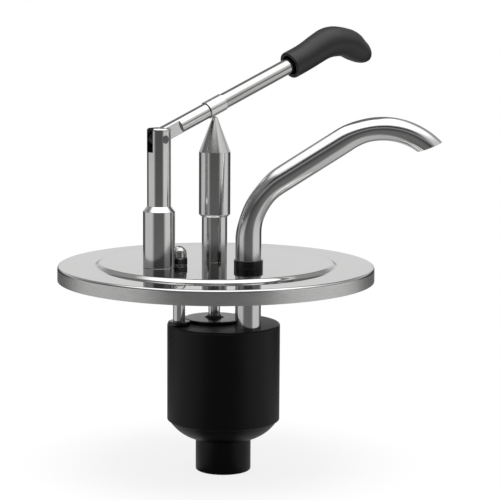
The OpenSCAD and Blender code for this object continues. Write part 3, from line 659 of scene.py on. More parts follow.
class Finish(Enum):
    """All finishes of the pump, each with the record's slot that it belongs to."""

    POLISHED = Steel("polished_steel", "polished_steel", gloss=0.11)
    POST = Steel("polished_steel", "polished_steel_post", gloss=0.08, relief=0.2)
    LEVER = Steel("polished_steel", "polished_steel_lever", colour=(0.52, 0.52, 0.515),
                  gloss=0.12, mark_size=0.3)
    TUBE = Steel("polished_steel", "polished_steel_tube", gloss=0.1, mark_size=0.3)
    WORN = Steel("polished_steel", "polished_steel_worn", colour=(0.74, 0.74, 0.735),
                 gloss=0.16)
    NUT = Steel("polished_steel", "polished_steel_nut", colour=(0.5, 0.5, 0.495), gloss=0.12,
                marks=0.0, smudge=0.03, relief=0.15)
    # Near-black steel on the walls of the post's slot: painted shade, with real machining marks
    MACHINED_PAINTED_SHADE = Steel("polished_steel", "machined_steel_painted_shade", colour=(0.07, 0.07, 0.07),
                     gloss=0.42, marks=0.15)
    # Near-black steel for the pin's recessed end: painted shade in its bore
    PIN_PAINTED_SHADE = Steel("polished_steel", "polished_steel_pin_painted_shade", colour=(0.13, 0.13, 0.128), gloss=0.2)
    PLAIN = Steel("plain_steel", "plain_steel", colour=(0.56, 0.56, 0.555), gloss=0.2,
                  smudge=0.08, marks=0.1)
    LID = LidSteel("lid_steel", "lid_steel")
    BLACK = Plastic("black_plastic", "black_plastic", colour=(0.0014, 0.0014, 0.0015),
                    rubbed=(0.014, 0.014, 0.0145), specular=0.18)
    PLATE = Plastic("black_plastic", "black_plastic_plate", gloss=0.16, marks=0.15,
                    grain=0.05)
    GLOSS_BLACK = Plastic("gloss_black_plastic", "gloss_black_plastic",
                          colour=(0.004, 0.004, 0.0045), gloss=0.12, marks=0.05, grain=0.05)
    RUBBER = Plastic("seal_rubber", "seal_rubber", colour=(0.015, 0.015, 0.015), gloss=0.55,
                     grain=0.6, grain_size=0.2)
    BUSH = Plastic("bush_plastic", "bush_plastic", colour=(0.11, 0.11, 0.115),
                   rubbed=(0.2, 0.2, 0.2), gloss=0.35)
    PISTON = Plastic("piston_plastic", "piston_plastic", colour=(0.62, 0.61, 0.57),
                     rubbed=(0.78, 0.77, 0.74), gloss=0.3)
    GRIP = Plastic("grip_plastic", "grip_plastic", colour=(0.006, 0.006, 0.0064), gloss=0.4,
                   marks=0.0, grain=0.55, grain_size=0.45)


class Dresser:
    """Makes objects from surfaces, and gives pieces and nodes their finish."""

    def __init__(self) -> None:
        """Start with no material made."""
        self.made: dict[Finish, bpy.types.Material] = {}

    def material(self, finish: Finish) -> bpy.types.Material:
        """The material of a finish, made on first use.

        Args:
            finish: The finish.

        Returns:
            The material.
        """
        if finish not in self.made:
            self.made[finish] = finish.value.material()
        return self.made[finish]

    def object(self, name: str, surface: Surface) -> bpy.types.Object:
        """Put a surface into a new object at the origin, in metres.

        Args:
            name: Name of the object and its mesh.
            surface: The surface.

        Returns:
            The object.
        """
        mesh = bpy.data.meshes.new(name)
        flat = np.concatenate([surface.quads.ravel(), surface.triangles.ravel()])
        sizes = np.concatenate([np.full(len(surface.quads), 4),
                                np.full(len(surface.triangles), 3)])
        starts = np.concatenate([[0], np.cumsum(sizes)[:-1]])
        mesh.vertices.add(len(surface.vertices))
        mesh.vertices.foreach_set("co", (surface.vertices * MM).astype(np.float32).ravel())
        mesh.loops.add(len(flat))
        mesh.loops.foreach_set("vertex_index", flat.astype(np.int32))
        mesh.polygons.add(len(sizes))
        mesh.polygons.foreach_set("loop_start", starts.astype(np.int32))
        grain = mesh.attributes.new("grain", "FLOAT_VECTOR", "POINT")
        grain.data.foreach_set("vector", surface.grain.astype(np.float32).ravel())
        wear = mesh.attributes.new("wear", "FLOAT", "POINT")
        wear.data.foreach_set("value", surface.wear.astype(np.float32))
        mesh.update(calc_edges=True)
        mesh.validate()
        made = bpy.data.objects.new(name, mesh)
        bpy.context.scene.collection.objects.link(made)
        return made

    def combined(self, target: bpy.types.Object,
                 tools: Sequence[Union[Surface, bpy.types.Object]],
                 way: Combine = Combine.CUT, inside: Optional[Finish] = None) -> None:
        """Cut tools out of an object, or join them to it, and keep the result as its mesh.

        Args:
            target: The object.
            tools: Surfaces, or objects, which are used up.
            way: Cut or join.
            inside: Finish that the first tool leaves on the walls that it opens.
        """
        helpers = [self.object("tool", tool) if isinstance(tool, Surface) else tool
                   for tool in tools]
        if inside:
            helpers[0].data.materials.append(self.material(inside))
            for helper in helpers[1:]:
                helper.data.materials.append(target.data.materials[0])
        for helper in helpers:
            step = target.modifiers.new("combine", "BOOLEAN")
            step.operation = way.value
            step.solver = "EXACT"
            step.material_mode = "TRANSFER"
            step.object = helper
        graph = bpy.context.evaluated_depsgraph_get()
        result = bpy.data.meshes.new_from_object(target.evaluated_get(graph))
        target.modifiers.clear()
        old = target.data
        target.data = result
        bpy.data.meshes.remove(old)
        for helper in helpers:
            mesh = helper.data
            bpy.data.objects.remove(helper)
            bpy.data.meshes.remove(mesh)

    def piece(self, name: str, surface: Surface, finish: Finish, body: Body, node: str,
              cuts: Sequence[Surface] = (), joined: Sequence[bpy.types.Object] = (),
              inside: Optional[Finish] = None, angle: float = 34.0) -> bpy.types.Object:
        """Make one finished piece that stands for a CAD node.

        Args:
            name: Name of the piece.
            surface: Its main surface, in the model's frame.
            finish: Its finish.
            body: Moving group that it rides on.
            node: CAD node that it replaces.
            cuts: Surfaces cut out of it.
            joined: Objects joined to it before that.
            inside: Finish that the first cut leaves on its walls.
            angle: Edges that turn more than this many degrees stay sharp.

        Returns:
            The piece.
        """
        made = self.object(name, surface)
        made.data.materials.append(self.material(finish))
        if joined:
            self.combined(made, joined, Combine.JOIN)
        if cuts:
            self.combined(made, cuts, inside=inside)
        mesh = made.data
        mesh.name = name
        if not inside:
            mesh.materials.clear()
            mesh.materials.append(self.material(finish))
            mesh.polygons.foreach_set("material_index", np.zeros(len(mesh.polygons),
                                                                 np.int32))
        mesh.shade_smooth()
        mesh.set_sharp_from_angle(angle=math.radians(angle))
        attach(made, body.value)
        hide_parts(node)
        LOG.info("piece %s: %d faces, on %s", name, len(mesh.polygons), body.value)
        return made

    def dress(self, finish: Finish, *nodes: str) -> None:
        """Give CAD nodes that stay as they are a finish of their own.

        Args:
            finish: The finish.
            nodes: The nodes.
        """
        for node in nodes:
            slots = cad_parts[node].data.materials
            if not len(slots):
                slots.append(self.material(finish))
            for index in range(len(slots)):
                slots[index] = self.material(finish)
            LOG.info("node %s: %s", node, finish.name)


@dataclass(frozen=True)
class Station:
    """Upright axis and ends of a CAD node, in millimetres."""

    x: float
    y: float
    low: float
    high: float

    @staticmethod
    def of(node: str) -> "Station":
        """Read the station of a turned node from the model."""
        low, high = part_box(node)
        return Station((low.x + high.x) / 2 / MM, (low.y + high.y) / 2 / MM, low.z / MM,
                       high.z / MM)

    def matrix(self) -> Matrix:
        """Move from the origin's axis to this axis."""
        return Matrix.Translation((self.x, self.y, 0.0))

    def cylinder(self, diameter: float, low: float, high: float) -> Surface:
        """A cutting cylinder on this axis."""
        return rod(diameter, low, high).placed(self.matrix())

    def turned(self, corners: Sequence[Sequence[float]], steps: int = 128, arcs: int = 5,
               loop: bool = False) -> Surface:
        """A turned piece on this axis, from the corners of its outline."""
        return turned(rounded(corners, arcs), steps, loop).placed(self.matrix())


# Sub-assemblies


@dataclass
class Lid:
    """The round lid, pressed from one sheet: raised disc, soft step, flat rim and skirt."""

    diameter: float = 199.0
    sheet: float = 0.8
    disc: float = 153.0
    rise: float = 2.0
    step: float = 4.0
    skirt: float = 9.3
    bend: float = 1.6
    hem_round: float = 0.22
    step_rows: int = 25
    bend_rows: int = 15
    holes: tuple[tuple[str, float], ...] = (
        ("guide_sleeve", 14.4), ("fulcrum_post", 8.4), ("tie_rod", 6.4), ("spout_collar", 17.1))
    through: tuple[float, float] = (-5.0, 6.0)

    def line(self, lift: float, bend: float) -> tuple[Array, Array]:
        """Upper or lower line of the sheet, from the middle outwards.

        The soft step falls by rise * (1 + cos(pi t)) / 2 over its width, and the rim's bend is
        a quarter of a circle.

        Args:
            lift: Height of the line along the flat rim.
            bend: Radius of the rim's bend.

        Returns:
            Radius and height of the points, and their edge wear.
        """
        t = np.linspace(0, 1, self.step_rows)
        foot = self.disc / 2
        step = np.stack([foot - self.step * (1 - t),
                         lift + self.rise * (1 + np.cos(np.pi * t)) / 2], axis=-1)
        flat = self.diameter / 2 - self.bend
        a = np.linspace(np.pi / 2, 0, self.bend_rows)
        arc = np.stack([flat + bend * np.cos(a), self.sheet - self.bend + bend * np.sin(a)],
                       axis=-1)
        # Support points beside the step and the bend keep the flats' shading
        supports = np.array([[foot + 0.3, lift], [flat - 0.4, lift]])
        disc = np.array([[0, lift + self.rise], [foot - self.step - 0.5, lift + self.rise]])
        points = np.concatenate([disc, step, supports, arc])
        wear = np.concatenate([np.zeros(2), np.full(self.step_rows, 0.15), np.zeros(2),
                               np.full(self.bend_rows, 0.5)])
        return points, wear

    def outline(self) -> Outline:
        """The sheet's half outline, from below the middle round the skirt to the top.

        Returns:
            The outline.
        """
        upper, worn = self.line(self.sheet, self.bend)
        lower, plain = self.line(0.0, self.bend - self.sheet)
        low = self.sheet - self.skirt
        edge, inner = self.diameter / 2, self.diameter / 2 - self.sheet
        nose = self.hem_round
        hem = np.array([[inner, self.sheet - self.bend - 0.4], [inner, low + nose + 0.1],
                        [inner, low + nose], [inner + nose * 0.3, low + nose * 0.3],
                        [inner + nose, low], [edge - nose, low],
                        [edge - nose * 0.3, low + nose * 0.3], [edge, low + nose],
                        [edge, low + nose + 0.1], [edge, self.sheet - self.bend - 0.4]])
        points = np.concatenate([lower, hem, upper[::-1]])
        hem_wear = np.zeros(len(hem))
        hem_wear[2:-2] = 0.6
        return Outline(points, np.concatenate([plain * 0, hem_wear, worn[::-1]]))

    def build(self, dresser: Dresser) -> None:
        """Make the lid and its holes."""
        cuts = [Station.of(node).cylinder(d, *self.through) for node, d in self.holes]
        dresser.piece("lid_sheet", turned(self.outline(), 360), Finish.LID, Body.BASE, "lid",
                      cuts, angle=50.0)


@dataclass
class FulcrumPost:
    """The forked post that carries the lever's pin, with its screw and washer."""

    diameter: float = 19.8
    neck: float = 14.7
    foot: float = 34.7
    cone: float = 3.2
    round_top: float = 1.5
    slot_width: float = 6.5
    slot_drop: float = 8.0
    slot_over: float = 5.0
    pin: float = 5.0
    pin_recess: float = 0.5
    pin_height: float = 81.9
    azimuth: float = 36.5
    screw: float = 8.1
    screw_under: float = 2.0
    thread: float = 13.9

    def build(self, dresser: Dresser) -> None:
        """Make the post and its pin, and dress the screw and washer.

        Args:
            dresser: Makes the pieces and gives them their finish.
        """
        s = Station.of("fulcrum_post")
        foot_r, neck_r = self.diameter / 2, self.neck / 2
        cone_low, cone_high = s.low + self.foot, s.low + self.foot + self.cone
        body = s.turned([
            [0, s.low], [foot_r, s.low, EDGE], [foot_r, cone_low, 0.35],
            [neck_r, cone_high, EDGE], [neck_r, s.high, self.round_top], [0, s.high]], 192, 8)
        way = s.matrix() @ Matrix.Rotation(math.radians(self.azimuth), 4, "Z")
        half = self.slot_width / 2
        slot = block((-self.diameter, -half, self.pin_height - self.slot_drop),
                     (self.diameter, half, s.high + self.slot_over)).placed(way)
        across = (way @ Matrix.Translation((0, 0, self.pin_height))
                  @ Matrix.Rotation(math.radians(90), 4, "X"))
        bore = rod(self.pin + 2 * PLAY, -self.diameter, self.diameter).placed(across)
        thread = s.cylinder(self.screw, s.low - self.screw_under, s.low + self.thread)
        # The slot's walls take near-black steel as painted shade
        dresser.piece("post_forked", body, Finish.POST, Body.BASE, "fulcrum_post",
                      [slot, bore, thread], inside=Finish.MACHINED_PAINTED_SHADE)
        reach = self.neck / 2 - self.pin_recess
        # The pin's end takes near-black steel as painted shade
        dresser.piece("lever_pin", rod(self.pin, -reach, reach, 0.25).placed(across),
                      Finish.PIN_PAINTED_SHADE, Body.BASE, "pivot_pin")
        dresser.dress(Finish.PLAIN, "post_screw", "post_washer")


@dataclass
class Lever:
    """The lever: flat tang and rod, tube, wear sleeve and the black grip."""

    pin: tuple[float, float, float] = (-34.7012, -24.8636, 81.9)
    azimuth: float = 36.5
    tilt: float = 22.3
    lift: float = 1.2
    rod_d: float = 9.8
    tang_w: float = 6.1
    tang_l: float = 16.0
    flat_reach: float = 12.0
    flat_back: float = 10.0
    # Where the eye's painted shade in the post's slot ends, along the lever, and how far it fades
    painted_shade_from: float = -2.5
    painted_shade_fade: float = 3.0
    joint: float = 38.5
    groove: float = 0.5
    spigot: float = 20.0
    spigot_d: float = 7.7
    pin_bore: float = 5.1
    hole_half: float = 8.0
    tube_d: float = 10.0
    wall: float = 1.1
    tube_end: float = 147.0
    wear_d: float = 11.0
    wear_l: float = 12.5
    grip_at: float = 108.5
    grip_l: float = 65.5
    grip_r: float = 8.6
    grip_drop: float = 22.0
    mouth_d: float = 12.8
    mouth_l: float = 6.0
    mouth_ease: float = 0.2
    rim_l: float = 1.5
    rim_at: float = 0.55
    rim_deep: float = 0.75
    rim_rows: int = 9
    rim_wear: float = 0.5
    nose_wear: float = 0.4
    grip_steps: int = 96
    nose: float = 0.7
    nose_angles: tuple[float, ...] = (25, 50, 70, 90)
    # Share of the length, of the drop and of a right angle, then half height and half width
    shares: tuple[tuple[float, ...], ...] = (
        (0, -0.005, 0, 0.97, 0.96), (0.012, -0.005, 0, 1.025, 1.015),
        (0.115, -0.005, 0, 1.025, 1.015), (0.19, 0, 0, 1.03, 1.025),
        (0.267, 0.016, 0.01, 1.045, 1.05), (0.344, 0.038, 0.03, 1.07, 1.085),
        (0.42, 0.056, 0.03, 1.095, 1.12), (0.481, 0.06, 0, 1.135, 1.145),
        (0.534, 0.042, -0.09, 1.15, 1.16), (0.588, -0.002, -0.19, 1.145, 1.165),
        (0.64, -0.07, -0.3, 1.115, 1.16), (0.697, -0.162, -0.4, 1.083, 1.14),
        (0.75, -0.277, -0.49, 1.085, 1.12), (0.796, -0.43, -0.555, 1.06, 1.08),
        (0.833, -0.585, -0.6, 0.96, 0.99), (0.875, -0.742, -0.63, 0.84, 0.87),
        (0.908, -0.88, -0.665, 0.65, 0.66), (0.928, -0.968, -0.68, 0.43, 0.44),
        (0.938, -1.015, -0.69, 0.2, 0.22))

    def matrix(self) -> Matrix:
        """From the lever's own frame, with X along it, to the model's frame."""
        return (Matrix.Translation(self.pin)
                @ Matrix.Rotation(math.radians(self.azimuth), 4, "Z")
                @ Matrix.Rotation(math.radians(-self.tilt), 4, "Y")
                @ Matrix.Translation((0, 0, self.lift)))

    def along(self) -> Matrix:
        """From a piece turned about Z to the lever's frame, with Z laid along X."""
        return self.matrix() @ Matrix.Rotation(math.radians(90), 4, "Y")

    def grip_loft(self) -> tuple[Array, Array, Array]:
        """Rings of the grip's skin, from its mouth to its nose.

        Between stations each value follows a Catmull-Rom curve. The nose is closed by rings
        that shrink with cos(a) while their centre moves on by sin(a).

        Returns:
            The rings' centres, their up directions, and their half heights and widths.
        """
        s = np.array(self.shares, float)
        padded = np.concatenate([[2 * s[0] - s[1]], s, [2 * s[-1] - s[-2]]])
        count = 7
        u = (np.arange(count) / count)[None, :, None]
        a, b, c, d = (padded[k:len(padded) - 3 + k, None, :] for k in range(4))
        curve = 0.5 * (2 * b + (c - a) * u + (2 * a - 5 * b + 4 * c - d) * u ** 2
                       + (3 * b - a - 3 * c + d) * u ** 3)
        rows = np.concatenate([curve.reshape(-1, 5)[count:], s[-1:]])
        centre = np.stack([self.grip_at + self.grip_l * rows[:, 0], np.zeros(len(rows)),
                           self.grip_drop * rows[:, 1]], axis=-1)
        lean = np.radians(90 * rows[:, 2])
        up = np.stack([-np.sin(lean), np.zeros(len(rows)), np.cos(lean)], axis=-1)
        half = rows[:, 3:] * self.grip_r
        on = centre[-1] - centre[-2]
        on /= np.linalg.norm(on)
        a = np.radians(self.nose_angles)
        centre = np.concatenate([centre, centre[-1] + np.sin(a)[:, None] * on * self.nose])
        up = np.concatenate([up, np.repeat(up[-1:], len(a), axis=0)])
        return centre, up, np.concatenate([half, np.cos(a)[:, None] * half[-1]])

    def grip_inside(self, outer: float) -> Array:
        """Distance along the lever and radius of the rows in the grip's bore and mouth.

        They run from the bore's closed end outwards. The rolled rim goes half round a circle
        from the mouth's radius to the skin's.

        Args:
            outer: The skin's radius at the mouth.

        Returns:
            The rows.
        """
        bore, mouth = self.tube_d / 2 + PLAY, self.mouth_d / 2
        ease = self.mouth_ease
        end, floor = self.tube_end + ease, self.grip_at + self.mouth_l
        rim = np.linspace(0, np.pi, self.rim_rows)
        mid, thick = (mouth + outer) / 2, (outer - mouth) / 2
        inner = np.array([[end, 0], [end, bore], [floor, bore], [floor, bore + ease],
                          [floor, mouth - ease], [floor - ease, mouth],
                          [self.grip_at + self.rim_l, mouth]])
        roll = np.stack([self.grip_at + self.rim_at - self.rim_deep * np.sin(rim),
                         mid - thick * np.cos(rim)], axis=-1)
        return np.concatenate([inner, roll])

    def grip_surface(self) -> Surface:
        """The grip with its bore.

        A ring's point at angle t is its centre + half height * cos t * up + half width * sin t
        * sideways, where up leans back with the ring's turn.

        Returns:
            The surface, in the lever's frame.
        """
        centre, up, half = self.grip_loft()
        inner = self.grip_inside(half[0].mean())
        rows = len(inner)
        base = np.stack([inner[:, 0], np.zeros(rows),
                         np.linspace(0, self.grip_drop * self.shares[0][1], rows)], axis=-1)
        base[:3, 2] = 0
        centre = np.concatenate([base, centre])
        up = np.concatenate([np.tile([0, 0, 1.0], (rows, 1)), up])
        half = np.concatenate([np.repeat(inner[:, 1:], 2, axis=1), half])
        t = around(self.grip_steps)
        side = np.array([0, 1.0, 0])
        points = (centre[:, None] + half[:, :1, None] * np.cos(t)[None, :, None] * up[:, None]
                  + half[:, 1:, None] * np.sin(t)[None, :, None] * side)
        wear = np.zeros(len(points))
        wear[rows - 7:rows + 2] = self.rim_wear
        wear[-12:] = self.nose_wear
        made = woven(points, points.copy(), wear, False, True, True)
        return Surface(made.vertices, made.quads[:, ::-1], made.triangles[:, ::-1], made.grain,
                       made.wear)

    def tang(self, dresser: Dresser) -> bpy.types.Object:
        """The lever's rod with its spigot, and with flats along the tang.

        Args:
            dresser: Makes the pieces and gives them their finish.

        Returns:
            The rod's object, with no material.
        """
        r, end = self.rod_d / 2, self.joint + self.spigot
        bar = turned(rounded([
            [0, 0.0], [r, 0.0], [r, self.joint, 0.35], [self.spigot_d / 2, self.joint],
            [self.spigot_d / 2, end, EDGE], [0, end]]), 128)
        half, far = self.tang_w / 2, self.flat_reach
        at = self.matrix()
        flats = [block((-self.flat_back, low, -far), (self.tang_l, high, far)).placed(at)
                 for low, high in ((-far, -half), (half, far))]
        made = dresser.object("tang", bar.placed(self.along()))
        dresser.combined(made, flats)
        return made

    def build(self, dresser: Dresser) -> None:
        """Make the rod with its eye, painted dark as shade in the post's slot, and what it
        carries.

        Args:
            dresser: Makes the pieces and gives them their finish.
        """
        eye_at = (self.matrix() @ Matrix.Translation((0, 0, -self.lift))
                  @ Matrix.Rotation(math.radians(90), 4, "X"))
        half = self.tang_w / 2 + HAIR
        eye = rod(self.rod_d + 2 * self.lift, -half, half, 0.0, 128).placed(eye_at)
        away = (eye.vertices - np.array(self.pin)) @ np.array(self.matrix())[:3, 0]
        # The eye is painted dark as shade where it sits in the post's slot
        eye.wear[:] = -np.clip(1.0 - (away - self.painted_shade_from) / self.painted_shade_fade, 0.0, 1.0)
        hole = rod(self.pin_bore, -self.hole_half, self.hole_half).placed(eye_at)
        dresser.piece("lever_rod_with_tang", eye, Finish.POLISHED, Body.LEVER, "lever_rod",
                      [hole], [self.tang(dresser)])
        start = self.joint + self.groove
        tube = pipe(self.tube_d, self.tube_d - 2 * self.wall, start, self.tube_end, 0.2, 160)
        dresser.piece("lever_tube_long", tube.placed(self.along()), Finish.LEVER, Body.LEVER,
                      "lever_tube")
        sleeve = pipe(self.wear_d, self.tube_d + 2 * PLAY, start, start + self.wear_l, 0.12, 160)
        dresser.piece("wear_sleeve_short", sleeve.placed(self.along()), Finish.WORN, Body.LEVER,
                      "wear_sleeve")
        dresser.piece("hand_grip", self.grip_surface().placed(self.matrix()), Finish.GRIP,
                      Body.LEVER, "grip", angle=60.0)


@dataclass
class Plunger:
    """The plunger: cap with its cone, rod, and the piston with its small parts."""

    cap_d: float = 19.8
    bore_d: float = 16.1
    wide_d: float = 17.2
    chamfer: float = 1.4
    cone_h: float = 22.1
    tip_r: float = 2.0
    guide_l: float = 10.0
    rod_d: float = 7.4
    rod_thread_d: float = 6.0
    thread_l: float = 10.0

    def cap(self, s: Station) -> Surface:
        """The cap: straight wall, cone that touches a rounded tip, and the stepped bore.

        The cone leaves the outer edge at the angle whose line touches the tip's circle: the
        angle of the line to the circle's middle less the arcsine of radius over distance.

        Args:
            s: The cap's station.

        Returns:
            The surface, round the origin's axis.
        """
        outer, tip_z = self.cap_d / 2, s.high - self.tip_r
        shoulder = s.high - self.cone_h
        rise = tip_z - shoulder
        far = math.hypot(rise, outer)
        half = math.atan(outer / rise) - math.asin(self.tip_r / far)
        a = np.linspace(half, np.pi / 2, 20)
        tip = np.stack([self.tip_r * np.cos(a), tip_z + self.tip_r * np.sin(a)], axis=-1)
        tip[-1, 0] = 0.0
        thread, end = self.rod_thread_d / 2 + PLAY, shoulder + self.thread_l + 0.2
        wall = rounded([
            [0, end], [thread, end], [thread, shoulder], [self.wide_d / 2, shoulder],
            [self.wide_d / 2, s.low + self.guide_l], [self.bore_d / 2, s.low + self.guide_l],
            [self.bore_d / 2, s.low, EDGE], [outer - self.chamfer, s.low, 0.5],
            [outer, s.low + self.chamfer, 0.9], [outer, shoulder, 0.5],
            [float(tip[0, 0]), float(tip[0, 1])]], 6)
        points = np.concatenate([wall.points[:-1], tip])
        return turned(Outline(points, np.concatenate([wall.wear[:-1], np.zeros(len(tip))])),
                      192)

    def build(self, dresser: Dresser) -> None:
        """Make the cap and the rod, and dress the piston's parts.

        Args:
            dresser: Makes the pieces and gives them their finish.
        """
        s = Station.of("plunger_cap")
        dresser.piece("cap_with_cone", self.cap(s).placed(s.matrix()), Finish.POLISHED,
                      Body.PLUNGER, "plunger_cap")
        low, high = Station.of("piston_rod").low, Station.of("piston_rod").high
        top, shoulder = Station.of("piston").high, s.high - self.cone_h
        r, thin = self.rod_d / 2, self.rod_thread_d / 2
        shaft = s.turned([[0, low], [thin, low, EDGE], [thin, top], [r, top, EDGE],
                          [r, shoulder, EDGE], [thin, shoulder], [thin, high, EDGE], [0, high]])
        dresser.piece("plunger_rod", shaft, Finish.POLISHED, Body.PLUNGER, "piston_rod")
        dresser.dress(Finish.PISTON, "piston")
        dresser.dress(Finish.RUBBER, "piston_seal")
        dresser.dress(Finish.PLAIN, "piston_washer", "piston_nut")


@dataclass
class Guide:
    """The guide sleeve that the cap slides on, with its nut, bush and spring."""

    sleeve_d: float = 16.0
    wall: float = 1.3
    tail_d: float = 14.0
    bush_d: float = 10.6
    seat: float = 6.8
    disc_top: float = 2.8
    wire: float = 1.4
    coil: float = 10.8
    turns: float = 14.0
    turn_steps: int = 40
    wire_steps: int = 16
    stroke: float = 24.7

    def spring(self, s: Station) -> Surface:
        """The return spring, a round wire on a helix.

        The wire's middle runs at half the coil's diameter from the axis and climbs evenly with
        the angle a. A point of its skin lies half a wire's diameter off it, at cos t along the
        way out from the axis and at sin t across that and the wire's run.

        Args:
            s: The spring's station.

        Returns:
            The surface, round the origin's axis.
        """
        low, high = s.low + self.wire / 2, s.high - self.wire / 2
        steps = int(self.turns * self.turn_steps)
        share = np.concatenate([[0.0], np.linspace(0.0, 1.0, steps), [1.0]])
        a = share * self.turns * 2 * np.pi
        lead = math.atan((high - low) / (self.turns * math.pi * self.coil))
        out = np.stack([np.cos(a), np.sin(a), np.zeros_like(a)], axis=-1)
        across = np.stack([-np.sin(a) * math.sin(lead), np.cos(a) * math.sin(lead),
                           np.full_like(a, -math.cos(lead))], axis=-1)
        foot, climb = np.array([0, 0, low]), np.array([0, 0, high - low])
        middle = out * self.coil / 2 + foot + share[:, None] * climb
        t = around(self.wire_steps)
        r = np.full(len(a), self.wire / 2)
        r[[0, -1]] = 0.0
        cos_t, sin_t = np.cos(t)[None, :, None], np.sin(t)[None, :, None]
        points = middle[:, None] + r[:, None, None] * (cos_t * out[:, None]
                                                       + sin_t * across[:, None])
        along = share * self.turns * math.pi * self.coil
        grain = np.stack([np.repeat(2 * np.sin(t)[None], len(a), axis=0),
                          np.repeat(along[:, None], self.wire_steps, axis=1) * ALONG,
                          np.repeat(2 * np.cos(t)[None], len(a), axis=0) * ALONG], axis=-1)
        return woven(points, grain, np.zeros(len(a)), False, True, True)

    def build(self, dresser: Dresser) -> None:
        """Make the sleeve and the spring, which the cap presses down, and dress the rest.

        Args:
            dresser: Makes the pieces and gives them their finish.
        """
        s = Station.of("guide_sleeve")
        outer, bore, bush = self.sleeve_d / 2, self.sleeve_d / 2 - self.wall, self.bush_d / 2
        sleeve = s.turned([
            [bush, 0.0], [bush, s.low, EDGE], [self.tail_d / 2, s.low, 0.4],
            [self.tail_d / 2, self.disc_top], [outer, self.disc_top, 0.12],
            [outer, s.high, 0.35], [bore, s.high, 0.35], [bore, self.seat],
            [bush, self.seat], [bush, 0.01]], 160, loop=True)
        dresser.piece("sleeve_of_guide", sleeve, Finish.POLISHED, Body.BASE, "guide_sleeve")
        coil = Station.of("return_spring")
        spring = dresser.piece("spring_wound", self.spring(coil).placed(coil.matrix()),
                               Finish.PLAIN, Body.BASE, "return_spring")
        coil.matrix().translation.x
        coil.matrix().translation.y
        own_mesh(spring)
        dresser.dress(Finish.PLAIN, "sleeve_nut")
        dresser.dress(Finish.BUSH, "rod_bush")


